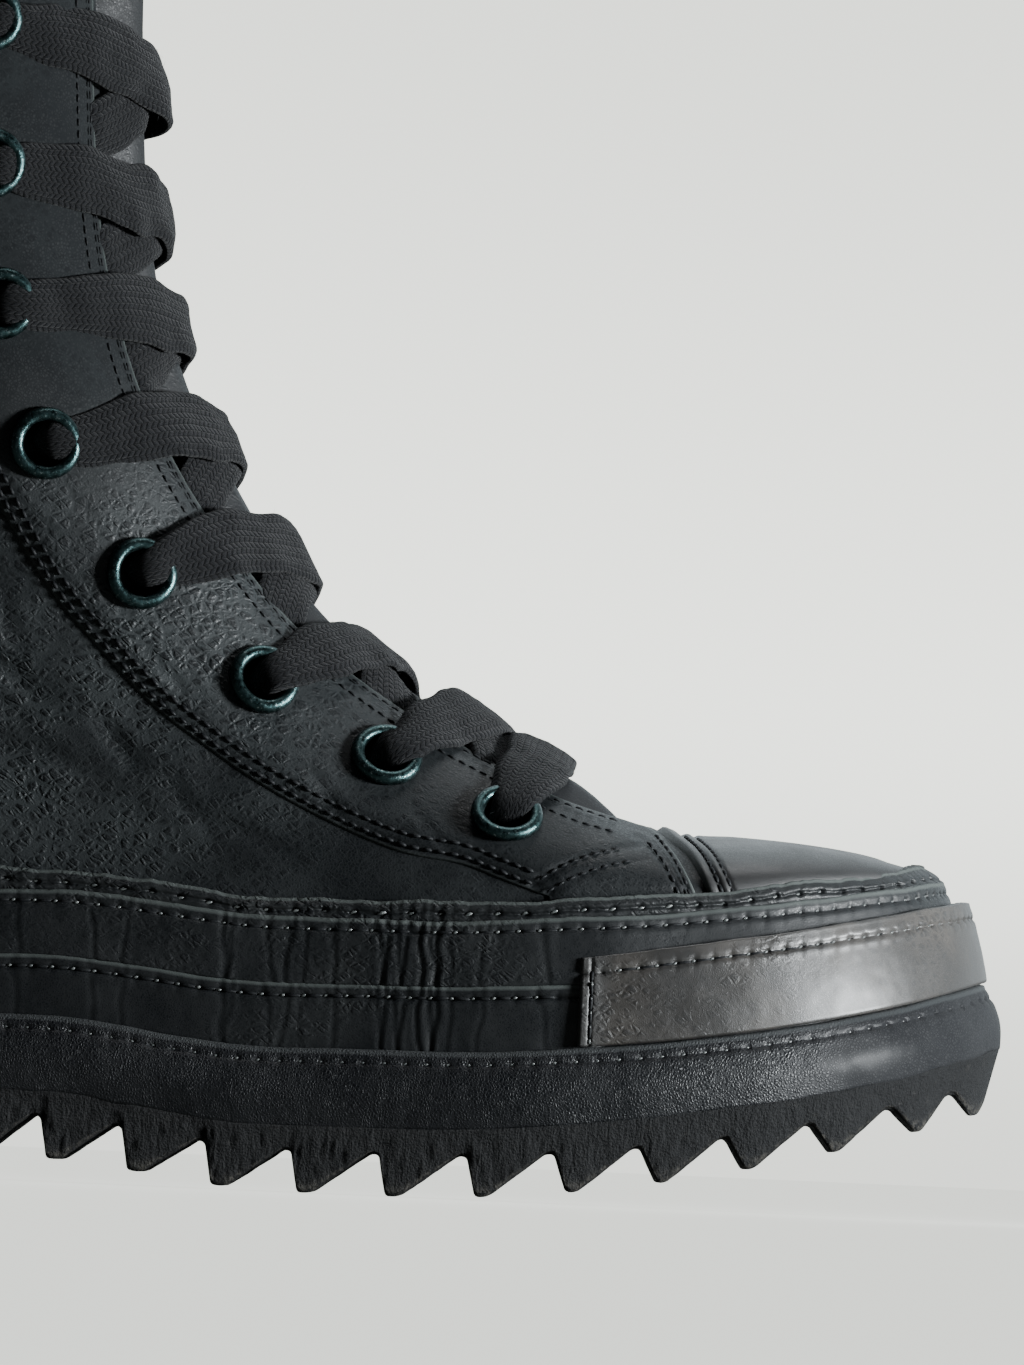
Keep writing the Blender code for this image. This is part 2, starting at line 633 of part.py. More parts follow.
def lining_section(ridge, out, side, depth_below):
    """Depth under the ridge and Y of the upper's lining, in the section through a ridge point."""
    depth = np.linspace(0.0, 46.0, 93)
    y = np.abs(breadth(ridge[0] - out[0] * depth, ridge[1] - out[1] * depth, side))
    rise = np.maximum.accumulate(y)
    slope_depth = np.gradient(depth)
    slope_y = np.gradient(rise)
    length = np.hypot(slope_depth, slope_y)
    return depth + depth_below * slope_y / length, rise - depth_below * slope_depth / length


def build_tongue(paint):
    """Leather tongue: under the eyelet rows it follows the upper's lining, between them it puffs out."""
    centre = through(TONGUE_LINE, TONGUE_ROWS)
    across = np.array([-1.0, -0.8, -0.58, -0.36, -0.16, 0.16, 0.36, 0.58, 0.8, 1.0])
    rings = []
    for place, (x, z) in enumerate(centre):
        ahead = centre[min(place + 1, len(centre) - 1)] - centre[max(place - 1, 0)]
        ahead /= np.linalg.norm(ahead)
        out = np.array([ahead[1], -ahead[0]])
        _, index = nearest(RIDGE_CURVE, np.array(x), np.array(z))
        ridge = RIDGE_CURVE[index]
        half = TONGUE_HALF * (0.6 + 0.4 * float(smooth((place - 3.0) / 9.0)))
        outer, inner = [], []
        for share in across:
            side = -1 if share < 0 else 1
            depth, reach = lining_section(ridge, out, side, WALL + TONGUE_CLEARANCE)
            y = abs(share) * half
            lining = ridge - out * np.interp(y, reach, depth)
            blend = smooth((y - 4.0) / 9.0)
            point = np.array([x, z]) * (1.0 - blend) + lining * blend
            low = point - out * TONGUE_THICKNESS
            outer.append((point[0], side * y, point[1]))
            inner.append((low[0], side * y * 0.93, low[1]))
        rings.append(outer + inner[::-1])
    count = len(rings[0])
    faces = skin(rings)
    for base in (0, (len(rings) - 1) * count):
        faces += [(base + place, base + place + 1, base + count - 2 - place, base + count - 1 - place)
                  for place in range(len(across) - 1)]
    return add_object("tongue", np.vstack(rings), faces, paint)


def build_insole(paint):
    """Insole on the platform inside the upper."""
    turns = np.arange(44) / 44
    inset = FOOT_INSET + WALL + 1.2 + 10.0 * toe_share(turns)
    low = layer_ring("middle", turns, SEAT_GAP, inset)
    high = layer_ring("middle", turns, SEAT_GAP + INSOLE_THICKNESS, inset + 0.6)
    return slab("insole", [low, high], paint)


# ---- eyelets and laces --------------------------------------------------------------------------------------
EYELET_SIDES = 8
EYELET_SECTION = (
    # radius,      height over the overlay
    (EYELET_HOLE, 2.8), (EYELET_RIM, 1.6),
    (EYELET_BARREL, 1.6), (EYELET_BARREL, -3.0), (EYELET_HOLE, -3.0),
)
LACE_WIDTH = 11.0
LACE_THICKNESS = 2.2
LACE_LIFT = 6.2          # height of the lace's middle over the overlay, at an eyelet
LACE_EDGE_LIFT = 6.4     # the same over the throat's edge
LACE_RIDGE_LIFT = 4.2    # the same over the middle of the tongue
LACE_SPAN = 4            # pieces of one crossing
LACE_END = 3.0           # how far a crossing runs on past its eyelet


def eyelet_frame(x, z, side):
    """Matrix at an eyelet's centre on the overlay's face, its Z axis pointing out."""
    normal = outward(x, z, side)
    centre = np.array([x, float(breadth(x, z, side)), z]) + normal * OVERLAY_FACE
    turn = Vector(normal).to_track_quat("Z", "Y").to_matrix().to_4x4()
    return Matrix.Translation(Vector(centre) * MM) @ turn


def eyelet_mesh(paint):
    """Turned metal ring with its barrel."""
    rings = []
    for radius, height in EYELET_SECTION:
        angle = 2 * math.pi * np.arange(EYELET_SIDES) / EYELET_SIDES
        rings.append(np.column_stack([radius * np.cos(angle), radius * np.sin(angle),
                                      np.full(EYELET_SIDES, height)]))
    thing = hoop("eyelet_pattern", rings, paint)
    mesh = thing.data
    bpy.data.objects.remove(thing)
    return mesh


def build_eyelets(paint, leather):
    """Two rows of eyelets, and their holes through the upper and the eyestays."""
    mesh = eyelet_mesh(paint)
    for side, row_name, panel in ((-1, "outer", "eyestay_lateral"), (1, "inner", "eyestay_medial")):
        tools = bmesh.new()
        for number, (x, z) in enumerate(EYELETS, start=1):
            frame = eyelet_frame(x, z, side)
            ring = bpy.data.objects.new(f"eyelet_{row_name}_{number}", mesh)
            ring.matrix_world = frame
            bpy.context.scene.collection.objects.link(ring)
            radius = (EYELET_BARREL + HOLE_CLEARANCE) * MM
            bmesh.ops.create_cone(tools, cap_ends=True, segments=EYELET_SIDES, radius1=radius, radius2=radius,
                                  depth=16.0 * MM, matrix=frame)
        drill_mesh = bpy.data.meshes.new(f"drill_{row_name}")
        tools.to_mesh(drill_mesh)
        tools.free()
        drill = bpy.data.objects.new(f"drill_{row_name}", drill_mesh)
        bpy.context.scene.collection.objects.link(drill)
        cut(leather["upper"], drill, "DIFFERENCE")
        cut(leather[panel], drill, "DIFFERENCE")


def throat_station(x, z):
    """Share of the throat's length, from the vamp up, that lies nearest to a point of the side view."""
    edge = through(THROAT, 200)
    _, index = nearest(edge, np.array(x), np.array(z))
    return index / 199.0


def edge_point(share, side, lift):
    """Point over the throat's edge, and its normal."""
    edge = through(THROAT, 200)
    x, z = edge[int(round(share * 199))]
    normal = outward(x - 0.6, z - 0.6, side)
    return np.array([x, float(breadth(x, z, side)), z]) + normal * lift, normal


def crossing(number_from, side_from, number_to, side_to):
    """Flat lace from over one eyelet to over another, as rings of four points."""
    ends = []
    for number, side in ((number_from, side_from), (number_to, side_to)):
        x, z = EYELETS[number]
        normal = outward(x, z, side)
        lift = OVERLAY_FACE + LACE_LIFT
        ends.append((np.array([x, float(breadth(x, z, side)), z]) + normal * lift, normal))
    start, finish = (throat_station(*EYELETS[number]) for number in (number_from, number_to))
    near_edge = edge_point(start * 0.72 + finish * 0.28, side_from, OVERLAY_FACE + LACE_EDGE_LIFT)
    far_edge = edge_point(start * 0.28 + finish * 0.72, side_to, OVERLAY_FACE + LACE_EDGE_LIFT)
    edge_here, _ = edge_point((start + finish) / 2, -1, 0.0)
    centre = through(TONGUE_LINE, 200)
    _, index = nearest(centre, np.array(edge_here[0]), np.array(edge_here[2]))
    ahead = centre[min(index + 1, 199)] - centre[index - 1]
    out = np.array([ahead[1], -ahead[0]]) / np.linalg.norm(ahead)
    out = out if out[1] > -0.2 and out[0] > -0.2 else -out
    top = centre[index] + out * LACE_RIDGE_LIFT
    middle = (np.array([top[0], 0.0, top[1]]), np.array([out[0], 0.0, out[1]]))
    knots = [ends[0], near_edge, middle, far_edge, ends[1]]
    path = through([knot[0] for knot in knots], LACE_SPAN + 1)
    normals = through([knot[1] for knot in knots], LACE_SPAN + 1)
    run = np.gradient(path, axis=0)
    run /= np.linalg.norm(run, axis=1)[:, None]
    path[0] -= run[0] * LACE_END
    path[-1] += run[-1] * LACE_END
    normals -= run * (normals * run).sum(axis=1)[:, None]
    normals /= np.linalg.norm(normals, axis=1)[:, None]
    wide = np.cross(run, normals)
    half_w, half_t = LACE_WIDTH / 2, LACE_THICKNESS / 2
    return [[path[step] + wide[step] * half_w * w + normals[step] * half_t * t
             for w, t in ((1, 1), (-1, 1), (-1, -1), (1, -1))] for step in range(len(path))]


def build_laces(paint):
    """One flat lace: a bar over the lowest eyelets, then a crossing pair for each pair of eyelets above."""
    pieces = [crossing(0, -1, 0, 1)]
    for number in range(1, len(EYELETS)):
        pieces.append(crossing(number, -1, number - 1, 1))
        pieces.append(crossing(number, 1, number - 1, -1))
    lace = None
    for order, rings in enumerate(pieces):
        faces = skin(rings) + [(3, 2, 1, 0), tuple(4 * (len(rings) - 1) + corner for corner in range(4))]
        strip = add_object(f"lace_piece_{order}" if order else "laces", np.vstack(rings), faces,
                           None if order else paint)
        if order:
            cut(lace, strip, "UNION")
        else:
            lace = strip
    return lace


# ---- assembly -----------------------------------------------------------------------------------------------
def build_upper(paint):
    """Hollow leather upper, open at the collar, the throat and underneath."""
    upper = upper_shell("upper", 0.0, paint)
    thicken(upper, WALL, -1)
    return upper


def main():
    """Builds every piece of the shoe."""
    for thing in list(bpy.data.objects):
        bpy.data.objects.remove(thing, do_unlink=True)
    leather = material("black_leather", (0.022, 0.024, 0.027), 0.42)
    waxed = material("waxed_leather", (0.045, 0.044, 0.043), 0.34)
    pebbled = material("pebbled_leather", (0.018, 0.020, 0.024), 0.30)
    rubber = material("black_rubber", (0.035, 0.035, 0.035), 0.85)
    cotton = material("charcoal_cotton", (0.030, 0.031, 0.034), 0.95)
    lining = material("tongue_leather", (0.020, 0.022, 0.024), 0.5)
    felt = material("insole_leather", (0.08, 0.075, 0.065), 0.8)
    patina = material("patinated_brass", (0.03, 0.075, 0.075), 0.4, 0.8)
    build_outsole(rubber)
    build_platform({"pebbled": pebbled, "smooth": leather})
    build_bumper(waxed)
    panels = build_overlays(leather)
    panels["upper"] = build_upper(leather)
    build_tongue(lining)
    build_insole(felt)
    build_eyelets(patina, panels)
    build_laces(cotton)


main()
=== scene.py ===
import math

import bpy
import numpy as np
from mathutils import Matrix, Vector


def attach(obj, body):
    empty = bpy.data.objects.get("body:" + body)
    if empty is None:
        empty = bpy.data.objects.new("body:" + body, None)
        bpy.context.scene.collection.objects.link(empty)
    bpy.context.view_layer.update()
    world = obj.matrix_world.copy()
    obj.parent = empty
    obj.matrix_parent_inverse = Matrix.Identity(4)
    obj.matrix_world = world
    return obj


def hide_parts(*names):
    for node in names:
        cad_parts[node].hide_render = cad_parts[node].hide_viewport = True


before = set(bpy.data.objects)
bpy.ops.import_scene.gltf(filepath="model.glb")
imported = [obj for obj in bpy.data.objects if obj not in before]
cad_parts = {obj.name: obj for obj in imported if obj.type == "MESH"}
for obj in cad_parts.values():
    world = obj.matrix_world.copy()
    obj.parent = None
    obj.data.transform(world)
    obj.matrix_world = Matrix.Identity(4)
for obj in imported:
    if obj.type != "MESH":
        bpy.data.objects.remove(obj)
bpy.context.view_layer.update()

MM = 0.001
GAP = 0.3                # clearance between neighbours that touch on the real shoe

# ---- sizes of the shoe ----
HALF_LENGTH = 157.6      # half the platform's length
OUTLINE_CENTRE = 0.25    # X of the middle of the platform
COLLAR_Z = 278.0         # height of the shaft's top edge
WALL = 2.4               # leather and lining together
BUMPER_START = 0.32      # share of a turn where the toe bumper starts on the lateral side

# Platform outline from above: share of a turn from the heel's middle round the lateral side, and Y there.
OUTLINE = (
    # turn,   y
    (0.0000, 0.0), (0.0625, -28.0), (0.1250, -41.5), (0.1875, -44.0),
    (0.2500, -48.8), (0.3125, -54.7), (0.3750, -49.8), (0.4375, -27.0),
    (0.5000, 5.0), (0.5625, 36.0), (0.6250, 52.7), (0.6875, 53.7),
    (0.7500, 45.0), (0.8125, 39.0), (0.8750, 40.0), (0.9375, 28.0),
)

# Heights of the platform's layers above the tread line, along the shoe.
LAYERS = (
    # x,   rubber, lower, middle, bumper, foxing, edge
    (-157, 14.8, 31.0, 44.0, 49.5, 58.0, 62.0),
    (-60, 14.8, 31.0, 44.0, 49.5, 58.0, 62.0),
    (-18, 14.2, 30.8, 44.8, 50.0, 59.3, 62.8),
    (25, 14.7, 31.8, 46.0, 50.6, 60.0, 63.5),
    (60, 14.8, 31.4, 45.6, 50.8, 59.9, 63.6),
    (90, 14.6, 30.1, 43.6, 51.0, 58.2, 61.8),
    (112, 13.4, 29.1, 42.0, 50.1, 56.7, 60.2),
    (134, 12.8, 28.0, 40.6, 48.7, 54.4, 58.0),
    (158, 13.3, 28.3, 40.0, 46.6, 52.0, 55.6),
)
LAYER_NAMES = ("rubber", "lower", "middle", "bumper", "foxing", "edge")

# How far each height of the side wall leans in from the platform's outline, at the toe and elsewhere.
LEAN = (
    # height, toe, sides
    (0.0, 4.4, 1.4), (9.0, 0.6, 0.2), (14.5, 0.9, 0.3), (28.0, 4.6, 1.5), (36.0, 7.0, 2.3),
    (46.0, 8.8, 3.0), (52.0, 11.0, 3.9), (54.6, 14.1, 4.3), (57.0, 16.0, 4.6), (64.0, 19.0, 5.4),
)

# Upper, centre line over the toe and instep, as a closed form without its throat.
RIDGE = (
    # x,     z
    (134.0, 75.4), (124.5, 77.4), (111.3, 79.0), (98.3, 79.6), (87.4, 80.0),
    (78.0, 83.2), (61.6, 90.8), (48.0, 97.0), (28.4, 107.2), (5.2, 124.4), (-12.6, 144.0),
    (-24.0, 160.5), (-32.5, 177.0), (-39.0, 196.5), (-42.2, 214.0), (-44.0, 236.0), (-45.4, 260.0),
    (-46.0, COLLAR_Z),
)

# Upper, edge of the throat on each side, from the vamp to the collar.
THROAT = (
    # x,     z
    (75.6, 83.0), (59.2, 87.6), (46.1, 94.1), (26.1, 104.2), (1.7, 121.1), (-16.9, 141.4),
    (-28.4, 157.6), (-37.2, 174.6), (-44.0, 195.5), (-47.4, 214.0), (-49.2, 236.0), (-50.6, 260.0),
    (-51.4, COLLAR_Z),
)

# Upper, profile of the heel and the back of the shaft.
BACK = (
    # x,      z
    (-148.2, 78.0), (-146.4, 100.0), (-142.0, 122.0), (-138.6, 146.0),
    (-138.8, 180.0), (-141.0, 220.0), (-143.0, 256.0), (-143.8, COLLAR_Z),
)

# Half breadth of the heel, ankle and shaft on each side.
BREADTH = (
    # z,   lateral, medial
    (60, 33.0, 33.0), (90, 32.5, 32.5), (120, 32.5, 33.5), (150, 34.5, 35.5), (190, 38.0, 38.5),
    (240, 40.5, 41.0), (COLLAR_Z, 42.0, 42.5),
)

# Centre line of the tongue's outer face, where it shows between the eyelet rows.
TONGUE_LINE = (
    # x,     z
    (92.0, 73.8), (84.0, 75.8), (77.5, 78.9), (72.4, 83.3), (68.0, 89.0), (60.4, 92.8), (29.6, 107.6), (9.6, 121.6),
    (-7.7, 142.0), (-21.1, 164.0), (-31.0, 186.0), (-36.4, 210.9), (-38.4, 236.0), (-39.6, 260.0),
    (-40.0, 281.0),
)

# Eyelet centres, seen square from the side.
EYELETS = (
    # x,     z
    (47.2, 82.6), (20.5, 94.4), (-7.0, 110.2), (-34.5, 132.4), (-56.4, 159.8), (-67.6, 189.8),
    (-71.2, 220.1), (-73.2, 251.6),
)
EYELET_HOLE = 5.0        # radius of the hole that the lace runs through
EYELET_RIM = 7.9         # outer radius of the flange
EYELET_BARREL = 5.7      # outer radius of the barrel in the leather
LEATHER_HOLE = 6.3       # radius of the holes in the upper and its lining
PANEL_HOLE = 6.6         # the same in the eyestays

# Seams and panel edges, seen square from the side.
QUARTER_SEAM = (
    # x,     z
    (57.0, 66.2), (46.5, 69.7), (37.7, 72.6), (24.6, 74.6), (9.1, 80.4), (-6.5, 88.1), (-19.9, 96.6),
    (-31.2, 104.8), (-42.5, 115.9), (-54.0, 128.5), (-65.7, 146.4), (-77.0, 168.0), (-84.0, 192.0),
    (-87.0, 220.0), (-88.5, 250.0), (-89.5, COLLAR_Z - 0.6),
)
EYESTAY_FRONT = (
    # x,     z
    (75.6, 83.0), (78.6, 82.2), (81.2, 80.0), (85.2, 75.4), (88.2, 70.2), (90.0, 66.2),
)
CAP_EDGE = (
    # x,     z
    (82.6, 80.2), (87.2, 76.2), (90.6, 70.6), (93.4, 64.8),
)
VAMP_SEAM = (
    # x,     z
    (53.4, 68.6), (60.0, 72.6), (68.0, 75.6), (77.4, 77.6),
)

FRONT_ROUNDING = 44.0    # depth over which the front of the shaft rounds off
BACK_ROUNDING = 30.0     # the same at the heel and the back of the shaft
TOE_POWER = 2.25         # squareness of the sections over the toe

TOE_SPRING = 23.8        # height of the front tooth over the floor
FOREFOOT_FRONT = 26.5    # X where the flat forefoot ends and the toe spring starts
SPRING_LENGTH = 127.6    # length of the toe spring
SPRING_POWER = 1.85      # how late the toe spring rises
FOREFOOT_BACK = 3.0      # X where the flat forefoot ends and the arch starts
ARCH_LENGTH = 118.0      # length of the arch
ARCH_RISE = 5.2          # height of the arch

TOOTH_HEIGHT = 9.2       # depth of the tread
TOE_TIP_X = 154.2        # X of the front tooth
TOOTH_PITCH = (
    # x,   spacing towards the heel
    (-157, 17.4), (-30, 17.6), (-10, 18.2), (20, 19.0), (60, 19.2), (102, 18.6), (138, 18.2), (142, 15.2),
)
TIP_WIDTH = 3.2          # flat under a tooth
RISER_WIDTH = 1.3        # run of a tooth's steep side
ROOT_WIDTH = 1.8         # flat between two teeth

BAND_INSET = 1.1         # how far the bands lie in from the lower slab's outline
MIDDLE_FOOT = 1.7        # how far the middle strip's lower edge lies in
FOXING_THICKNESS = 2.2
BUMPER_THICKNESS = 1.8
BUMPER_STEP = 0.004      # share of a turn over which the bands step in behind the bumper
STRIP_STEP = 0.03        # the same for the foxing and the tape, which pull straight past the corner
BUMPER_PROUD = 1.5       # how far the bumper stands out from the bands
FOOT_INSET = BAND_INSET + FOXING_THICKNESS + BUMPER_THICKNESS + 0.8
SEAT_GAP = 1.1           # height of the upper and insole over the platform
TUCK = 1.5               # how far the upper's free part starts below the top tape's upper edge
ANKLE_BOW = 10.0         # how far the columns of the upper bend towards the heel
PANEL_LIFT = 1.5         # height of a panel's face over the upper under it


# ---- shapes ----
def column(table, index):
    """One column of a table as an array."""
    return np.array([row[index] for row in table], dtype=float)


def look_up(table, index, position, reach=0.0):
    """Value of a table's column at a position, averaged over reach to either side to round the table's corners."""
    position = np.asarray(position, dtype=float)
    if reach == 0.0:
        return np.interp(position, column(table, 0), column(table, index))
    shifts = np.linspace(-reach, reach, 9)
    values = [np.interp(position + shift, column(table, 0), column(table, index)) for shift in shifts]
    return np.mean(values, axis=0)


def smooth(value):
    """Smooth step from 0 to 1 over the unit interval: 3 t^2 - 2 t^3."""
    value = np.clip(value, 0.0, 1.0)
    return value * value * (3.0 - 2.0 * value)


def hump(distance, width):
    """Bell curve exp(-(d / w)^2)."""
    return np.exp(-(distance / width) ** 2)


def catmull_rom(before, here, there, after, step):
    """Cubic from here to there over a step from 0 to 1, its ends parallel to the chords over its neighbours."""
    return 0.5 * (2 * here + (there - before) * step
                  + (2 * before - 5 * here + 4 * there - after) * step ** 2
                  + (3 * here - before - 3 * there + after) * step ** 3)


def spline(knots, place):
    """Catmull-Rom curve through knots (first axis) at fractional knot numbers."""
    knots = np.asarray(knots, dtype=float)
    padded = np.concatenate([2 * knots[:1] - knots[1:2], knots, 2 * knots[-1:] - knots[-2:-1]])
    first = np.clip(np.floor(place).astype(int), 0, len(knots) - 2)
    step = (place - first).reshape((-1,) + (1,) * (knots.ndim - 1))
    return catmull_rom(*(padded[first + shift] for shift in range(4)), step)


def travelled(points):
    """Distance along a polyline up to each of its points."""
    return np.concatenate([[0.0], np.cumsum(np.linalg.norm(np.diff(points, axis=0), axis=1))])


def resample(points, stations):
    """Polyline read at given distances along it."""
    along = travelled(points)
    return np.column_stack([np.interp(stations, along, points[:, axis]) for axis in range(points.shape[1])])


def evenly(points, count):
    """Polyline read at even distances from end to end."""
    return resample(points, np.linspace(0.0, travelled(points)[-1], count))


def through(points, count):
    """Smooth curve through a short list of points, read at even distances."""
    points = np.array(points, dtype=float)
    curve = spline(points, np.linspace(0.0, len(points) - 1, 12 * len(points)))
    return evenly(curve, count)


def noise(points, size, seed=0):
    """Value noise from -1 to 1: hashed values on the corners of a grid of the given size, blended smoothly."""
    place = np.asarray(points, dtype=float) / size
    base = np.floor(place).astype(np.int64)
    step = smooth(place - base)
    total = np.zeros(place.shape[:-1])
    for corner in range(8):
        shift = np.array([corner & 1, corner >> 1 & 1, corner >> 2 & 1])
        key = ((base + shift) * np.array([73856093, 19349663, 83492791])).sum(axis=-1) + seed * 374761393
        key = (key ^ (key >> 13)) * 1274126177
        value = ((key ^ (key >> 16)) & 65535) / 32767.5 - 1.0
        total += value * np.prod(np.where(shift, step, 1.0 - step), axis=-1)
    return total


def rocker(x):
    """Height of the tooth tips above the floor: arch, flat forefoot and toe spring."""
    spring = TOE_SPRING * (np.clip(x - FOREFOOT_FRONT, 0.0, None) / SPRING_LENGTH) ** SPRING_POWER
    arch_share = np.clip((FOREFOOT_BACK - x) / ARCH_LENGTH, 0.0, 1.0)
    return spring + ARCH_RISE * np.sin(math.pi * arch_share) ** 2


def outline_y(turn):
    """Y of the platform's outline at a share of a turn, as a smooth closed curve."""
    knots = column(OUTLINE, 1)
    place = (turn % 1.0) * len(knots)
    first = np.floor(place).astype(int)
    return catmull_rom(*(knots[(first + shift) % len(knots)] for shift in (-1, 0, 1, 2)), place - first)


def outline_out(turn):
    """Unit vector pointing out of the platform's outline, from above."""
    small = 1e-4
    dx = HALF_LENGTH * np.sin(2 * math.pi * turn) * 2 * math.pi
    dy = (outline_y(turn + small) - outline_y(turn - small)) / (2 * small)
    length = np.hypot(dx, dy)
    return np.column_stack([dy / length, -dx / length])


def outline(turn, inset):
    """Points of the platform's outline moved in by inset at each turn."""
    turn = np.asarray(turn, dtype=float)
    points = np.column_stack([OUTLINE_CENTRE - HALF_LENGTH * np.cos(2 * math.pi * turn), outline_y(turn)])
    return points - outline_out(turn) * np.reshape(inset, (-1, 1))


def toe_share(turn):
    """1 at the toe, falling to 0 where the side wall stops leaning in."""
    away = np.abs((np.asarray(turn) % 1.0) - 0.5)
    return 1.0 - smooth(away / 0.20)


def wall_inset(turn, height):
    """How far the side wall lies in from the outline at a height above the tread line."""
    toe = look_up(LEAN, 1, height, 1.0)
    sides = look_up(LEAN, 2, height, 1.0)
    return sides + (toe - sides) * toe_share(turn)


def layer_height(name, x):
    """Height of a layer's top above the tread line."""
    return look_up(LAYERS, 1 + LAYER_NAMES.index(name), x, 9.0)


def layer_ring(name, turns, lift=0.0, extra_inset=0.0):
    """Closed ring of points along the top of a named layer, raised by lift and moved in by extra_inset."""
    rough = outline(turns, 0.0)
    height = layer_height(name, rough[:, 0])
    flat = outline(turns, wall_inset(turns, height + np.minimum(lift, 0.0)) + extra_inset)
    z = rocker(flat[:, 0]) + layer_height(name, flat[:, 0]) + lift
    return np.column_stack([flat, z])


def toe_side(turns, step=BUMPER_STEP):
    """1 under the toe bumper, 0 behind its rear edges; the change takes step of a turn."""
    return smooth((0.5 - BUMPER_START - np.abs(turns - 0.5)) / step)


def half_breadths(x, ring):
    """Lateral and medial Y of a closed ring at given X."""
    half = len(ring) // 2
    lateral = ring[:half + 1]
    medial = np.vstack([ring[half:], ring[:1]])[::-1]
    return (np.interp(x, lateral[:, 0], lateral[:, 1]), np.interp(x, medial[:, 0], medial[:, 1]))


EDGE_TURNS = np.arange(480) / 480
EDGE_RING = layer_ring("edge", EDGE_TURNS, -TUCK, FOOT_INSET)
TOE_POINT = EDGE_RING[len(EDGE_RING) // 2, [0, 2]]
HEEL_POINT = EDGE_RING[0, [0, 2]]
CURVE_STEPS = 239        # steps between the points of a curve along the instep
RIDGE_CURVE = through([tuple(TOE_POINT)] + list(RIDGE), CURVE_STEPS + 1)
BACK_CURVE = through([tuple(HEEL_POINT)] + list(BACK), 120)
THROAT_CURVE = through(THROAT, CURVE_STEPS + 1)
TONGUE_CURVE = through(TONGUE_LINE, CURVE_STEPS + 1)


def nearest(curve, x, z):
    """Distance from points of the side view to a polyline, and the fractional number of its nearest point."""
    points = np.column_stack([np.ravel(x), np.ravel(z)])
    gaps, places = [], []
    for start in range(0, len(points), 4000):
        part = points[start:start + 4000]
        best = ((curve[None] - part[:, None]) ** 2).sum(axis=2).argmin(axis=1)
        found_gap, found_place = np.full(len(part), 1e9), np.zeros(len(part))
        for low in (np.clip(best - 1, 0, len(curve) - 2), np.clip(best, 0, len(curve) - 2)):
            along = curve[low + 1] - curve[low]
            share = ((part - curve[low]) * along).sum(axis=1) / (along ** 2).sum(axis=1)
            share = np.clip(share, 0.0, 1.0)
            gap = np.linalg.norm(part - curve[low] - along * share[:, None], axis=1)
            closer = gap < found_gap
            found_gap = np.where(closer, gap, found_gap)
            found_place = np.where(closer, low + share, found_place)
        gaps.append(found_gap)
        places.append(found_place)
    return np.concatenate(gaps).reshape(np.shape(x)), np.concatenate(places).reshape(np.shape(x))


def rounding(depth, power):
    """Share of the full breadth at a share of the depth over which a section rounds off."""
    depth = np.clip(depth, 0.0, 1.0)
    return (1.0 - (1.0 - depth) ** power) ** (1.0 / power)


def breadth(x, z, side):
    """Y of the upper's outer face at points of the side view; side is -1 lateral, 1 medial."""
    x = np.asarray(x, dtype=float)
    z = np.asarray(z, dtype=float)
    lateral, medial = half_breadths(np.clip(x, -112.0, None), EDGE_RING)
    foot = -lateral if side < 0 else medial
    floor = rocker(x) + layer_height("edge", x) - TUCK
    shaft = look_up(BREADTH, 1 if side < 0 else 2, z, 12.0)
    full = foot + (shaft - foot) * smooth((z - floor) / 62.0)
    front_gap, place = nearest(RIDGE_CURVE, x, z)
    ridge_x = np.interp(place, np.arange(len(RIDGE_CURVE)), RIDGE_CURVE[:, 0])
    ridge_z = np.interp(place, np.arange(len(RIDGE_CURVE)), RIDGE_CURVE[:, 1])
    rise = ridge_z - rocker(ridge_x) - layer_height("edge", ridge_x) + TUCK
    front_depth = np.clip(rise * 0.92, 2.0, FRONT_ROUNDING)
    back_gap, _ = nearest(BACK_CURVE, x, z)
    return side * full * rounding(front_gap / front_depth, TOE_POWER) * rounding(back_gap / BACK_ROUNDING, 2.2)


def outward(x, z, side):
    """Unit normals of the upper's outer face at points of the side view."""
    small = 0.4
    slope_x = (breadth(x + small, z, side) - breadth(x - small, z, side)) / (2 * small)
    slope_z = (breadth(x, z + small, side) - breadth(x, z - small, side)) / (2 * small)
    normal = np.stack([-slope_x * side, np.full(np.shape(slope_x), float(side)), -slope_z * side], axis=-1)
    return normal / np.linalg.norm(normal, axis=-1, keepdims=True)


def unit(vectors):
    """Vectors of length 1."""
    return vectors / np.maximum(np.linalg.norm(vectors, axis=-1, keepdims=True), 1e-9)


def grid_normals(grid):
    """Unit normals of a grid of points, columns crossed with rows."""
    return unit(np.cross(np.gradient(grid, axis=1), np.gradient(grid, axis=0)))


def sheet_mesh(name, grid, paint, closed=False, rolled=False, keep=None, marks=None, flip=False):
    """Object from a grid of points, rows by columns; closed joins the last column to the first, rolled the rows.

    keep masks the faces by their first corner, and marks holds vertex attributes.
    """
    rows, columns = grid.shape[:2]
    row, place = np.meshgrid(np.arange(rows if rolled else rows - 1),
                             np.arange(columns if closed else columns - 1), indexing="ij")
    if keep is not None:
        chosen = keep[row, place]
        row, place = row[chosen], place[chosen]
    row, place = row.ravel(), place.ravel()
    above, after = (row + 1) % rows, (place + 1) % columns
    corners = np.column_stack([row * columns + place, row * columns + after,
                               above * columns + after, above * columns + place])
    corners = corners[:, ::-1] if flip else corners
    return raw_mesh(name, grid.reshape(-1, 3), corners, paint,
                    marks={key: np.ravel(value) for key, value in (marks or {}).items()})


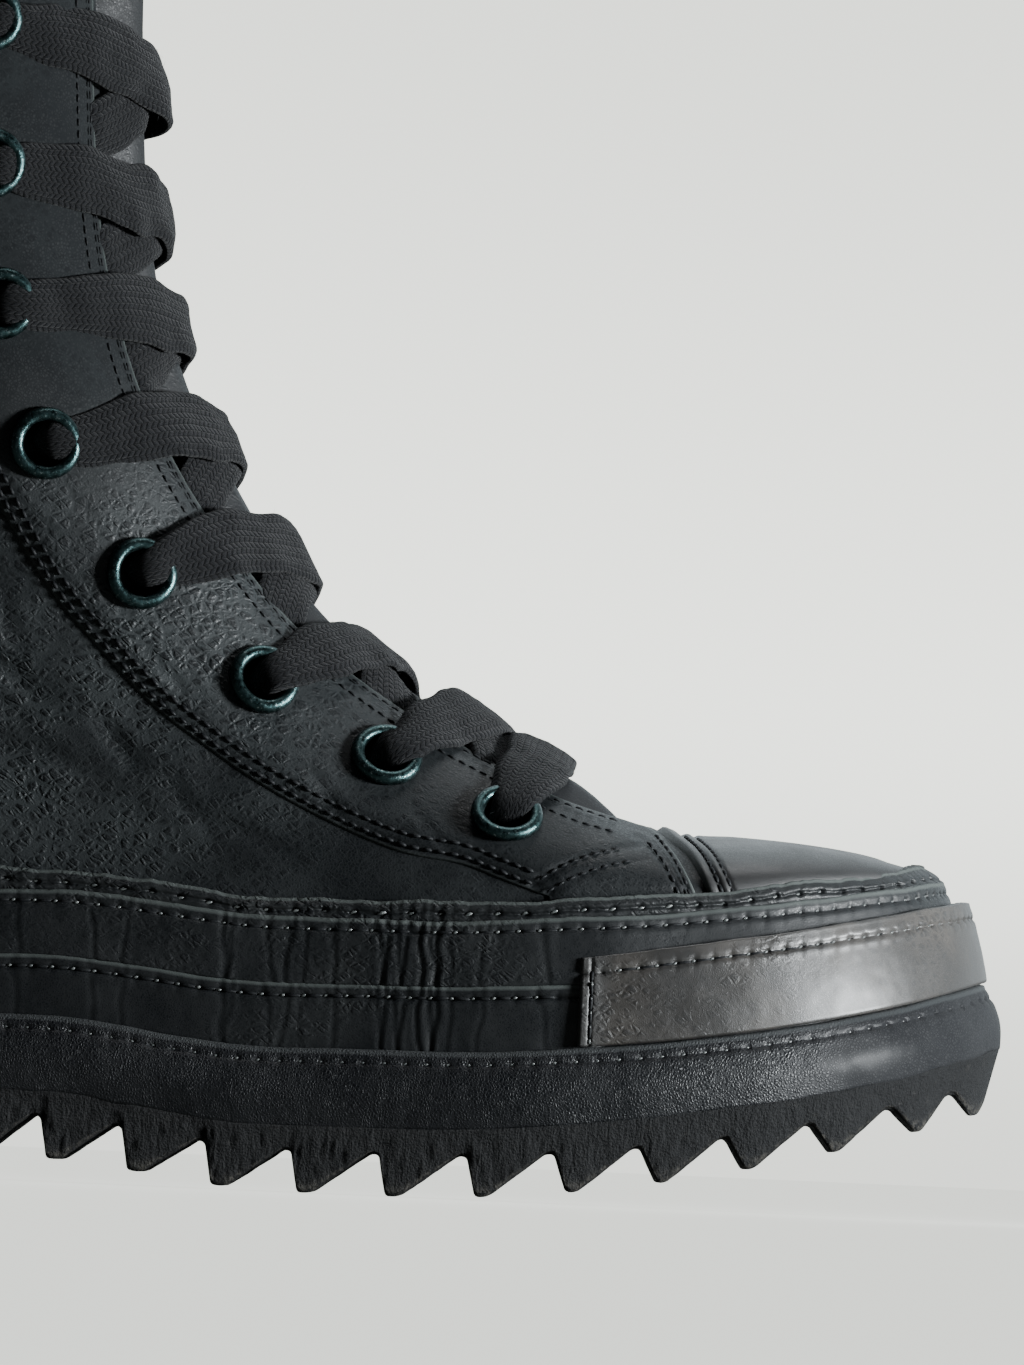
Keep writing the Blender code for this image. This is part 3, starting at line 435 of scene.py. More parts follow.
def raw_mesh(name, points, corners, paint, uv=None, marks=None):
    """Object from points in millimetres and faces that all have the same number of corners."""
    mesh = bpy.data.meshes.new(name)
    count, sides = corners.shape
    used, inverse = np.unique(corners, return_inverse=True)
    corners = inverse.reshape(count, sides)
    mesh.vertices.add(len(used))
    mesh.vertices.foreach_set("co", np.ascontiguousarray(points[used] * MM, dtype=np.float32).ravel())
    mesh.loops.add(count * sides)
    mesh.loops.foreach_set("vertex_index", corners.astype(np.int32).ravel())
    mesh.polygons.add(count)
    mesh.polygons.foreach_set("loop_start", np.arange(0, count * sides, sides, dtype=np.int32))
    mesh.update(calc_edges=True)
    mesh.polygons.foreach_set("use_smooth", np.ones(count, dtype=bool))
    if uv is not None:
        layer = mesh.uv_layers.new(name="UVMap")
        spread = uv[used][corners.ravel()]
        layer.data.foreach_set("uv", np.ascontiguousarray(spread, dtype=np.float32).ravel())
    for key, value in (marks or {}).items():
        attribute = mesh.attributes.new(key, "FLOAT", "POINT")
        attribute.data.foreach_set("value", np.ascontiguousarray(value[used], dtype=np.float32))
    mesh.validate()
    mesh.materials.append(paint)
    thing = bpy.data.objects.new(name, mesh)
    bpy.context.scene.collection.objects.link(thing)
    return thing


def copied_mesh(name, points, corners, paint, uv=None):
    """Object from many pieces with the same faces: points and uv hold one block of vertices a piece."""
    corners = np.array(corners)[None] + np.arange(len(points))[:, None, None] * points.shape[1]
    return raw_mesh(name, points.reshape(-1, 3), corners.reshape(-1, corners.shape[-1]), paint,
                    None if uv is None else uv.reshape(-1, 2))


def tube_corners(rows, sides, rolled=False):
    """Faces of a tube of rows of vertices; rolled joins the last row to the first."""
    row, place = np.meshgrid(np.arange(rows if rolled else rows - 1), np.arange(sides), indexing="ij")
    row, place = row.ravel(), place.ravel()
    after, above = (place + 1) % sides, (row + 1) % rows
    return np.column_stack([row * sides + place, row * sides + after,
                            above * sides + after, above * sides + place])


# ---- materials ----
def new_group(name, inputs, outputs):
    """Empty node group with its sockets; returns the group with its input and output nodes."""
    group = bpy.data.node_groups.new(name, "ShaderNodeTree")
    for label, kind, value in inputs:
        socket = group.interface.new_socket(label, in_out="INPUT", socket_type=kind)
        if value is not None:
            socket.default_value = value
    for label, kind in outputs:
        group.interface.new_socket(label, in_out="OUTPUT", socket_type=kind)
    start = group.nodes.new("NodeGroupInput")
    end = group.nodes.new("NodeGroupOutput")
    return group, start, end


def link(tree, source, target):
    """Joins two sockets, or sets the target to a plain value."""
    if isinstance(source, (int, float, tuple)):
        target.default_value = source
    else:
        tree.links.new(source, target)


def math_node(tree, operation, first, second=0.0):
    """Output of a Math node."""
    node = tree.nodes.new("ShaderNodeMath")
    node.operation = operation
    for socket, value in zip(node.inputs, (first, second)):
        link(tree, value, socket)
    return node.outputs[0]


def times(tree, first, second):
    """Product of two values."""
    return math_node(tree, "MULTIPLY", first, second)


def plus(tree, first, second):
    """Sum of two values."""
    return math_node(tree, "ADD", first, second)


def fade(tree, value, low, high, to_low=0.0, to_high=1.0):
    """Value turned from one range into another along a smooth step, and held at its ends."""
    node = tree.nodes.new("ShaderNodeMapRange")
    node.interpolation_type = "SMOOTHSTEP"
    for socket, given in zip(node.inputs, (value, low, high, to_low, to_high)):
        link(tree, given, socket)
    return node.outputs[0]


def mixed(tree, share, first, second):
    """Colour between two colours."""
    node = tree.nodes.new("ShaderNodeMix")
    node.data_type = "RGBA"
    link(tree, share, node.inputs[0])
    link(tree, first, node.inputs[6])
    link(tree, second, node.inputs[7])
    return node.outputs[2]


def noise_node(tree, vector, scale, detail=2.0, rough=0.5):
    """Noise between 0 and 1; scale in periods a millimetre."""
    node = tree.nodes.new("ShaderNodeTexNoise")
    link(tree, vector, node.inputs["Vector"])
    link(tree, scale, node.inputs["Scale"])
    node.inputs["Detail"].default_value = detail
    node.inputs["Roughness"].default_value = rough
    return node.outputs["Fac"]


def cell_node(tree, vector, scale, feature="F1"):
    """Distance inside the cells of a Voronoi pattern; scale in cells a millimetre."""
    node = tree.nodes.new("ShaderNodeTexVoronoi")
    node.feature = feature
    link(tree, vector, node.inputs["Vector"])
    link(tree, scale, node.inputs["Scale"])
    return node.outputs["Distance"]


def stretched(tree, vector, stretch, turn=(0.0, 0.0, 0.0)):
    """Vector turned, then stretched, before a texture reads it."""
    node = tree.nodes.new("ShaderNodeMapping")
    node.vector_type = "TEXTURE"
    link(tree, vector, node.inputs["Vector"])
    node.inputs["Rotation"].default_value = turn
    node.inputs["Scale"].default_value = [1.0 / share for share in stretch]
    return node.outputs["Vector"]


def millimetres(tree):
    """Object coordinates in millimetres."""
    source = tree.nodes.new("ShaderNodeTexCoord")
    node = tree.nodes.new("ShaderNodeVectorMath")
    node.operation = "SCALE"
    link(tree, source.outputs["Object"], node.inputs[0])
    node.inputs["Scale"].default_value = 1.0 / MM
    return node.outputs["Vector"]


def build_leather_group():
    """Grain: raised cells between fine grooves, with a net of wrinkles where the leather has been flexed."""
    group, start, end = new_group(
        "leather surface",
        [("Place", "NodeSocketVector", None), ("Cells", "NodeSocketFloat", 1.3), ("Depth", "NodeSocketFloat", 1.0),
         ("Flex", "NodeSocketFloat", 0.0), ("Dust", "NodeSocketFloat", 0.3)],
        [("Height", "NodeSocketFloat"), ("Worn", "NodeSocketFloat"), ("Rough", "NodeSocketFloat")])
    place, cells, depth, flex, dust = (start.outputs[index] for index in range(5))
    bent = group.nodes.new("ShaderNodeVectorMath")
    bent.operation = "ADD"
    swirl = group.nodes.new("ShaderNodeTexNoise")
    swirl.inputs["Scale"].default_value = 0.35
    swirl.inputs["Detail"].default_value = 2.0
    link(group, place, swirl.inputs["Vector"])
    link(group, place, bent.inputs[0])
    link(group, swirl.outputs["Color"], bent.inputs[1])
    warped = bent.outputs["Vector"]
    grain = fade(group, cell_node(group, warped, cells, "DISTANCE_TO_EDGE"), 0.0, 0.35)
    pores = noise_node(group, warped, times(group, cells, 1.7), 1.5, 0.5)
    nets = []
    for lean, stretch, width in ((0.62, (0.22, 0.4, 0.62), 0.2), (-0.5, (0.17, 0.4, 0.44), 0.2),
                                 (0.4, (0.55, 0.8, 1.1), 0.25)):
        crease = cell_node(group, stretched(group, warped, stretch, (0.0, lean, 0.0)), 1.0, "DISTANCE_TO_EDGE")
        nets.append(fade(group, crease, 0.0, width))
    fold = times(group, plus(group, times(group, nets[2], 0.35), 0.65), times(group, nets[0], nets[1]))
    slack = noise_node(group, place, 0.05, 2.0)
    flexed = times(group, flex, fade(group, slack, 0.3, 0.62, 0.3, 1.0))
    height = times(group, plus(group, grain, times(group, pores, 0.5)), times(group, depth, 0.022))
    link(group, plus(group, height, times(group, fold, times(group, flexed, 0.26))), end.inputs["Height"])
    cloud = noise_node(group, place, 0.07, 4.0, 0.6)
    specks = fade(group, noise_node(group, place, 1.9, 4.0, 0.7), 0.62, 0.78)
    patches = fade(group, cloud, 0.45, 0.75, 0.0, 0.5)
    dusty = times(group, dust, plus(group, times(group, specks, 0.6), patches))
    rubbed = times(group, math_node(group, "SUBTRACT", 1.0, fold), flexed)
    link(group, plus(group, times(group, rubbed, 0.8), dusty), end.inputs["Worn"])
    grooves = math_node(group, "SUBTRACT", 1.0, grain)
    link(group, plus(group, times(group, cloud, 0.42), times(group, grooves, 0.18)), end.inputs["Rough"])
    return group


def build_weave_group():
    """Flat braid: columns of slanting yarns, the slant turned from one column to the next, with loose fibres."""
    group, start, end = new_group(
        "braid weave",
        [("Along", "NodeSocketFloat", 0.0), ("Across", "NodeSocketFloat", 0.0), ("Column", "NodeSocketFloat", 1.6),
         ("Pitch", "NodeSocketFloat", 1.7)],
        [("Height", "NodeSocketFloat"), ("Painted Shade", "NodeSocketFloat")])
    along, across, width, pitch = (start.outputs[index] for index in range(4))
    joined = group.nodes.new("ShaderNodeCombineXYZ")
    link(group, along, joined.inputs[0])
    link(group, across, joined.inputs[1])
    jitter = noise_node(group, joined.outputs[0], 0.9, 2.0)
    lane = math_node(group, "DIVIDE", across, width)
    slant = math_node(group, "PINGPONG", lane, 1.0)
    turn_over = math_node(group, "FLOOR", times(group, lane, 0.5))
    phase = plus(group, math_node(group, "DIVIDE", along, pitch), times(group, slant, 0.62))
    phase = plus(group, plus(group, phase, times(group, jitter, 0.35)), times(group, turn_over, 0.5))
    yarn = math_node(group, "ABSOLUTE", math_node(group, "SINE", times(group, phase, math.pi)))
    yarn = math_node(group, "POWER", yarn, 0.6)
    edge = math_node(group, "ABSOLUTE", math_node(group, "SUBTRACT", math_node(group, "FRACT", lane), 0.5))
    height = times(group, yarn, fade(group, edge, 0.5, 0.28, 0.35, 1.0))
    fuzz = noise_node(group, joined.outputs[0], 6.0, 4.0, 0.75)
    link(group, plus(group, height, times(group, fuzz, 0.7)), end.inputs["Height"])
    # Painted shade: the colour follows yarn height, darker in the grooves between yarns and at lane edges; fuzz
    # adds random tone.
    link(group, plus(group, times(group, height, 0.8), times(group, fuzz, 0.3)), end.inputs["Painted Shade"])
    return group


LEATHER = build_leather_group()
WEAVE = build_weave_group()


def new_material(name, colour):
    """Principled material; returns it with its tree and shader."""
    made = bpy.data.materials.new(name)
    made.use_nodes = True
    made.diffuse_color = (*colour, 1.0)
    return made, made.node_tree, made.node_tree.nodes["Principled BSDF"]


def bump(tree, shader, height, distance):
    """Bump into the shader's normal; the height is in millimetres times distance."""
    node = tree.nodes.new("ShaderNodeBump")
    node.inputs["Strength"].default_value = 1.0
    node.inputs["Distance"].default_value = distance * MM
    link(tree, height, node.inputs["Height"])
    link(tree, node.outputs["Normal"], shader.inputs["Normal"])


def mark(tree, name):
    """Value of a vertex attribute."""
    node = tree.nodes.new("ShaderNodeAttribute")
    node.attribute_name = name
    return node.outputs["Fac"]


def leather(name, colour, worn_colour, rough, cells, depth, dust, cut_edge_and_shade, coat=0.0, gloss=0.5):
    """Leather with grain; marks flex, cut edge and dull: flexed, cut (on the bumper painted shade) and matt
    leather.
    """
    made, tree, shader = new_material(name, colour)
    surface = tree.nodes.new("ShaderNodeGroup")
    surface.node_tree = LEATHER
    link(tree, millimetres(tree), surface.inputs["Place"])
    surface.inputs["Cells"].default_value = cells
    surface.inputs["Depth"].default_value = depth
    surface.inputs["Dust"].default_value = dust
    link(tree, mark(tree, "flex"), surface.inputs["Flex"])
    # Cut edges, and on the toe bumper painted shade towards its rear edges.
    cut_and_shaded = mark(tree, "cut_edge_and_shade")
    tone = mixed(tree, surface.outputs["Worn"], (*colour, 1.0), (*worn_colour, 1.0))
    link(tree, mixed(tree, cut_and_shaded, tone, (*cut_edge_and_shade, 1.0)), shader.inputs["Base Color"])
    roughness = plus(tree, plus(tree, surface.outputs["Rough"], rough), times(tree, cut_and_shaded, 0.3))
    roughness = plus(tree, roughness, times(tree, mark(tree, "dull"), 0.42))
    link(tree, roughness, shader.inputs["Roughness"])
    shader.inputs["Specular IOR Level"].default_value = gloss
    shader.inputs["Coat Weight"].default_value = coat
    shader.inputs["Coat Roughness"].default_value = 0.32
    bump(tree, shader, surface.outputs["Height"], 1.0)
    return made


def rubber_material():
    """Dull black rubber with a coarse granular face and pale scuffs on the tips."""
    made, tree, shader = new_material("black rubber", (0.02, 0.02, 0.022))
    place = millimetres(tree)
    grain = noise_node(tree, stretched(tree, place, (1.0, 1.0, 0.3)), 1.3, 5.0, 0.72)
    crumbs = cell_node(tree, place, 1.7)
    scuff = fade(tree, noise_node(tree, place, 0.45, 5.0, 0.7), 0.55, 0.72)
    tip = times(tree, mark(tree, "tip"), fade(tree, noise_node(tree, place, 0.8, 3.0), 0.35, 0.65))
    tone = mixed(tree, scuff, (0.0024, 0.0026, 0.0030, 1.0), (0.0090, 0.0088, 0.0086, 1.0))
    tone = mixed(tree, times(tree, tip, 0.55), tone, (0.060, 0.056, 0.048, 1.0))
    link(tree, tone, shader.inputs["Base Color"])
    shader.inputs["Roughness"].default_value = 0.78
    shader.inputs["Specular IOR Level"].default_value = 0.2
    bump(tree, shader, plus(tree, times(tree, grain, 0.9), times(tree, crumbs, 0.25)), 0.75)
    return made


def lace_material():
    """Charcoal cotton braid; UV is millimetres along and across the lace."""
    made, tree, shader = new_material("charcoal cotton", (0.03, 0.031, 0.034))
    uv = tree.nodes.new("ShaderNodeUVMap")
    uv.uv_map = "UVMap"
    split = tree.nodes.new("ShaderNodeSeparateXYZ")
    link(tree, uv.outputs["UV"], split.inputs[0])
    braid = tree.nodes.new("ShaderNodeGroup")
    braid.node_tree = WEAVE
    link(tree, split.outputs[0], braid.inputs["Along"])
    link(tree, split.outputs[1], braid.inputs["Across"])
    braid.inputs["Column"].default_value = 1.35
    braid.inputs["Pitch"].default_value = 1.45
    # Painted shade: the braid is coloured darker where its yarns lie low.
    tone = mixed(tree, braid.outputs["Painted Shade"], (0.0004, 0.0005, 0.0008, 1.0), (0.0054, 0.0058, 0.0070, 1.0))
    link(tree, tone, shader.inputs["Base Color"])
    shader.inputs["Roughness"].default_value = 0.95
    shader.inputs["Specular IOR Level"].default_value = 0.12
    shader.inputs["Sheen Weight"].default_value = 0.05
    shader.inputs["Sheen Roughness"].default_value = 0.5
    bump(tree, shader, braid.outputs["Height"], 0.55)
    return made


def plain_material(name, colour, roughness, speckle=0.0, scale=2.0, relief=0.1, second=None, gloss=0.5):
    """One colour broken up by noise towards a second one."""
    made, tree, shader = new_material(name, colour)
    cloud = noise_node(tree, millimetres(tree), scale, 4.0, 0.65)
    tone = mixed(tree, fade(tree, cloud, 0.4, 0.7, 0.0, speckle), (*colour, 1.0), (*(second or colour), 1.0))
    link(tree, tone, shader.inputs["Base Color"])
    link(tree, fade(tree, cloud, 0.3, 0.7, roughness - 0.1, roughness + 0.1), shader.inputs["Roughness"])
    shader.inputs["Specular IOR Level"].default_value = gloss
    bump(tree, shader, cloud, relief)
    return made


def patina_material():
    """Brass rings under a dark green-blue patina, rubbed bright in places."""
    made, tree, shader = new_material("patinated brass", (0.03, 0.075, 0.075))
    place = millimetres(tree)
    cloud = noise_node(tree, place, 0.7, 5.0, 0.68)
    rubbed = fade(tree, noise_node(tree, place, 1.6, 4.0, 0.7), 0.56, 0.7)
    tone = mixed(tree, cloud, (0.010, 0.024, 0.025, 1.0), (0.030, 0.056, 0.057, 1.0))
    tone = mixed(tree, times(tree, rubbed, 0.5), tone, (0.30, 0.36, 0.36, 1.0))
    link(tree, tone, shader.inputs["Base Color"])
    link(tree, fade(tree, cloud, 0.3, 0.7, 0.24, 0.42), shader.inputs["Roughness"])
    link(tree, fade(tree, cloud, 0.3, 0.75, 1.0, 0.9), shader.inputs["Metallic"])
    bump(tree, shader, cloud, 0.12)
    return made


BLACK = (0.0016, 0.0024, 0.0031)
PAINTS = {
    "upper": leather("black leather", BLACK, (0.0190, 0.0225, 0.0235), rough=0.24, cells=1.4, depth=0.8,
                     dust=0.25, cut_edge_and_shade=(0.045, 0.054, 0.051), gloss=0.26),
    "cap": leather("toe leather", (0.0034, 0.0034, 0.0038), (0.018, 0.0168, 0.0155), rough=0.24, cells=2.2,
                   depth=0.4, dust=0.3, cut_edge_and_shade=(0.040, 0.046, 0.043), coat=0.1, gloss=0.45),
    "band": leather("band leather", (0.0014, 0.0021, 0.0028), (0.0085, 0.0098, 0.0100), rough=0.22, cells=1.9,
                    depth=0.5, dust=0.3, cut_edge_and_shade=(0.036, 0.042, 0.040), gloss=0.30),
    # The bumper's edge colour is painted shade, laid towards its rear edges.
    "bumper": leather("waxed leather", (0.0060, 0.0056, 0.0052), (0.036, 0.031, 0.026), rough=0.14, cells=2.6,
                      depth=0.9, dust=0.9, cut_edge_and_shade=(0.009, 0.009, 0.009), coat=0.3),
    "pebbled": leather("pebbled leather", (0.0012, 0.0016, 0.0026), (0.0034, 0.0040, 0.0050), rough=0.17,
                       cells=1.6, depth=3.2, dust=0.12, cut_edge_and_shade=(0.016, 0.018, 0.019), coat=0.05, gloss=0.32),
    "tongue": leather("tongue leather", (0.0026, 0.0030, 0.0038), (0.0070, 0.0078, 0.0090), rough=0.30,
                      cells=1.4, depth=0.6, dust=0.2, cut_edge_and_shade=(0.02, 0.022, 0.022), gloss=0.3),
    "lining": plain_material("grey lining", (0.020, 0.021, 0.022), 0.85, 0.5, 1.5, second=(0.04, 0.04, 0.04)),
    "insole": plain_material("insole leather", (0.075, 0.070, 0.060), 0.8, 0.6, 0.4,
                             second=(0.04, 0.036, 0.03)),
    "rubber": rubber_material(),
    "lace": lace_material(),
    "thread": plain_material("waxed thread", (0.0022, 0.0028, 0.0036), 0.62, 0.8, 1.2, 0.05,
                             second=(0.008, 0.0085, 0.0095), gloss=0.16),
    # Pale thread bits: painted glints at the ends of the stitches.
    "twist": plain_material("thread painted glint", (0.030, 0.034, 0.034), 0.42, 0.7, 2.0, 0.05,
                            second=(0.11, 0.115, 0.11)),
    "brass": patina_material(),
    "fibre": plain_material("cotton fibre", (0.009, 0.0093, 0.0105), 0.9),
}


# ---- stitches ----
GRAIN_SIDES = 6          # faces round one stitch


def stitch_mesh(name, rows, length, width, rise, paint):
    """Stitches, one closed grain each: width * sqrt(1 - u^4) thick, bowed up by rise (1 - u^2), u from -1 to 1.

    rows holds (centres, directions, normals) of each row of stitches.
    """
    centre, along, up = (np.concatenate([row[index] for row in rows]) for index in range(3))
    along, up = unit(along), unit(up)
    across = unit(np.cross(up, along))
    up = np.cross(along, across)
    u = np.array([-1.0, -0.74, 0.0, 0.74, 1.0])
    angle = np.linspace(0.0, 2 * math.pi, GRAIN_SIDES + 1)[:-1]
    thick = width / 2 * np.sqrt(np.clip(1.0 - u ** 4, 0.0025, 1.0))
    bow = rise * (1.0 - u[:, None] ** 2)
    shape = np.stack([np.repeat(u * length / 2, GRAIN_SIDES),
                      (thick[:, None] * np.cos(angle)).ravel(),
                      (thick[:, None] * np.sin(angle) * 0.8 + bow - rise * 0.35).ravel()])
    sway = along + across * (0.10 * noise(centre, 3.1, 5))[:, None]
    frame_at = np.stack([unit(sway), across, up], axis=1)
    size = 1.0 + 0.12 * noise(centre, 2.3, 8)
    points = centre[:, None, :] + np.einsum("vk,nkd->nvd", shape.T, frame_at) * size[:, None, None]
    quads = []
    for base in range(0, (len(u) - 1) * GRAIN_SIDES, GRAIN_SIDES):
        quads += [(base + side, base + (side + 1) % GRAIN_SIDES,
                   base + GRAIN_SIDES + (side + 1) % GRAIN_SIDES, base + GRAIN_SIDES + side)
                  for side in range(GRAIN_SIDES)]
    last = (len(u) - 1) * GRAIN_SIDES
    quads += [(3, 2, 1, 0), (5, 4, 3, 0),
              (last, last + 1, last + 2, last + 3), (last, last + 3, last + 4, last + 5)]
    return copied_mesh(name, points, quads, paint)


def spaced(points, normals, step, phase=0.5):
    """Stations at even steps along a polyline, with directions and normals: one row for stitch_mesh."""
    along = travelled(points)
    count = int(along[-1] / step)
    stations = (np.arange(count) + phase) * step
    up = np.column_stack([np.interp(stations, along, normals[:, axis]) for axis in range(3)])
    return resample(points, stations), resample(points, stations + 0.4) - resample(points, stations - 0.4), up


# ---- sole ----
SOLE_STITCH = 4.6        # pitch of the stitch rows round the sole
BUMPER_STITCH = 4.0      # pitch of the stitches on the bumper
TAPE_STITCH = 6.3        # pitch of the heavy stitches on the top tape
BAND_TURNS = np.concatenate([np.linspace(0.0, 0.18, 130)[:-1], np.linspace(0.18, 0.53, 660)[:-1],
                             np.linspace(0.53, 1.0, 300)[:-1]])


def strip_profile(depth, bulge, edge, steps=30, height=14.0, lines=()):
    """Section of a strip: share of its height, rise and inset, from deep inside under it, over its face, back in.

    Rows are packed closer round the stitch lines, given as distances below the top edge.
    """
    close = [1.0 - (line + shift) / height for line in lines
             for shift in (-0.75, -0.5, -0.25, 0.0, 0.25, 0.5, 0.75)]
    even = [share for share in np.linspace(0.0, 1.0, steps)
            if all(abs(share - spot) > 0.2 / height for spot in close)]
    face = np.sort(np.array(even + close))
    low = [(0.0, 0.0, depth), (0.0, 0.0, edge + 0.9), (0.0, 0.05, edge * 0.5), (0.0, edge * 0.5, 0.05)]
    middle = [(share, edge * (1.0 - 2.0 * share), -bulge * math.sin(math.pi * share)) for share in face]
    high = [(1.0, -edge * 0.5, 0.06), (1.0, -edge * 0.15, edge * 0.3), (1.0, 0.0, edge), (1.0, 0.0, depth)]
    return np.array(low + middle + high)


def band_grid(low, high, turns, profile, relief):
    """Rows of profile over columns of turns: (1 - share) low + share high, moved out by relief(points, drop)."""
    bottom = layer_ring(low[0], turns, low[1], low[2])
    top = layer_ring(high[0], turns, high[1], high[2])
    out = np.column_stack([outline_out(turns), np.zeros(len(turns))])
    share, rise, inset = (profile[:, index, None, None] for index in range(3))
    grid = bottom * (1.0 - share) + top * share - out * inset
    grid = grid + np.array([0.0, 0.0, 1.0]) * rise
    drop = top[None, :, 2] - grid[:, :, 2]
    face = 1.0 - smooth((profile[:, 2, None] - 0.7) / 1.2)
    along = np.interp(turns, RING_TURNS, RING_LENGTH)
    return grid + out * (relief(grid, drop, along) * face)[:, :, None]


RING_TURNS = np.linspace(0.0, 1.0, 1201)
RING_LENGTH = travelled(layer_ring("middle", RING_TURNS, 0.0, BAND_INSET))


def row_on_band(low, high, turn_range, relief, drop, step):
    """Row of stitches round a band, drop below its top edge, between the needle holes that groove() makes."""
    first, last = (np.interp(turn, RING_TURNS, RING_LENGTH) for turn in turn_range)
    stations = (np.arange(math.ceil(first / step), math.floor(last / step)) + 0.5) * step
    rows = []
    for shift in (-0.5, 0.0, 0.5):
        turns = np.interp(stations + shift, RING_LENGTH, RING_TURNS)
        edges = [tuple(part(turns) if callable(part) else part for part in edge) for edge in (low, high)]
        rows.append(band_grid(*edges, turns, np.array([[1.0, -drop, -0.1]]), relief)[0])
    turns = np.interp(stations, RING_LENGTH, RING_TURNS)
    out = np.column_stack([outline_out(turns), np.full(len(turns), 0.12)])
    return rows[1] + out * 0.22, rows[2] - rows[0], out


def groove(drop, line, along, step, depth=0.5, width=0.42):
    """Trough along a row of stitches, pulled in further and wider at the needle holes every step."""
    hole = np.abs((along / step + 0.5) % 1.0 - 0.5) * step
    pull = hump(hole, 0.75)
    return (-(0.55 + 0.9 * pull) * depth * hump(drop - line, width * (1.0 + 0.25 * pull))
            + 0.10 * hump(np.abs(drop - line) - 1.3, 0.8) * (1.0 - 0.7 * pull))


# Upright wrinkles in the two upper bands on the outer side: X, depth, width, lean.
WRINKLES = (
    (20.4, 0.20, 0.5, 0.10), (22.6, 0.26, 0.5, -0.04), (24.5, 0.18, 0.45, 0.08), (27.2, 0.24, 0.55, -0.10),
    (29.8, 0.30, 0.5, 0.05), (31.6, 0.22, 0.45, 0.12), (33.9, 0.28, 0.55, -0.06), (36.4, 0.14, 0.5, 0.0),
    (-13.0, 0.16, 0.6, 0.05), (-10.8, 0.12, 0.5, -0.08), (-3.5, 0.12, 0.6, 0.1), (2.2, 0.16, 0.6, -0.12),
    (4.3, 0.12, 0.5, 0.06), (11.5, 0.14, 0.6, 0.0), (-42.0, 0.12, 0.6, 0.1), (-34.0, 0.1, 0.6, -0.05),
    (44.0, 0.12, 0.6, -0.1), (56.0, 0.1, 0.6, 0.15), (-58.0, 0.1, 0.6, 0.05),
)


def leather_relief(seed, amount, grooves, wrinkles=0.0, lumps=0.0):
    """Relief of a leather strip: slow swelling, small dents, stitch grooves and upright wrinkles."""
    def relief(points, drop, along):
        total = amount * (0.30 * noise(points, 26.0, seed) + 0.16 * noise(points, 8.0, seed + 1)
                          + 0.05 * noise(points, 2.6, seed + 2))
        total = total + lumps * (0.5 * noise(points, 4.2, seed + 5) + 0.3 * noise(points, 1.9, seed + 6))
        for line, step, *depth in grooves:
            total = total + groove(drop, line, along, step, *depth)
        for x, depth, width, lean in WRINKLES if wrinkles else ():
            away = points[..., 0] - x - lean * drop - 0.8 * noise(points, 5.0, seed + 3)
            near = np.where(points[..., 1] < 0.0, 1.0, 0.3)
            fold = hump(away, width) - 0.5 * hump(away - 1.9 * width, width)
            total = total - wrinkles * near * depth * fold
        return total
    return relief


def ragged(turns, seed, amount):
    """Small changes of height along a hand-cut edge."""
    ring = outline(turns, 0.0)
    spots = np.column_stack([ring, np.zeros(len(turns))])
    return amount * (noise(spots, 9.0, seed) + 0.5 * noise(spots, 3.3, seed + 1)
                     + 0.25 * noise(spots, 1.4, seed + 2))


def flex_mark(points, seed, base):
    """How far leather has been flexed, as patches."""
    return np.clip(base + 0.5 * noise(points, 22.0, seed) + 0.25 * noise(points, 7.0, seed + 1), 0.0, 1.0)


def nose_dull(points):
    """How dull a strip is: scuffed matt where it turns round the nose."""
    return smooth((points[..., 0] - 108.0) / 24.0)


def cut_edge(grid):
    """Share of cut leather: the rows along a strip's top edge."""
    share = np.zeros(grid.shape[:2])
    share[-5:-1] = 0.8
    return share


def twists(rows, step):
    """Bits of twisted thread that show where it comes up, half a step before each stitch and a little slanted;
    their pale colour is a painted glint.
    """
    made = []
    for centre, along, out in rows:
        reach = unit(along)
        made.append((centre - reach * step / 2 + out * 0.05, reach + np.array([0.0, 0.0, 0.28]), out))
    return made


NOSE_STRIPS = ("midsole_lower_strip", "toe_bumper_strip")    # strips whose scuffed nose is matt
BUMPER_TURN = 1180.0     # millimetres to a whole turn near the bumper's rear edge


def build_strip(name, low, high, turns, profile, relief, paint, flex, closed=True, pull=0.0, marks=None):
    """Strip between two layer edges, moved in by pull; flex holds the seed and base of its flexed patches."""
    grid = band_grid(low, high, turns, profile, relief) - pull
    marks = {"flex": flex_mark(grid, *flex), "cut_edge_and_shade": cut_edge(grid), **(marks or {})}
    if name in NOSE_STRIPS:
        marks["dull"] = nose_dull(grid)
    return grid, sheet_mesh(name, grid, PAINTS[paint], closed=closed, rolled=True, marks=marks)


def tucked(extra):
    """Inset of the foxing and the tape at given turns: drawn in where the bumper lies over them."""
    return lambda turns: BAND_INSET + extra + BUMPER_THICKNESS * toe_side(turns, STRIP_STEP)


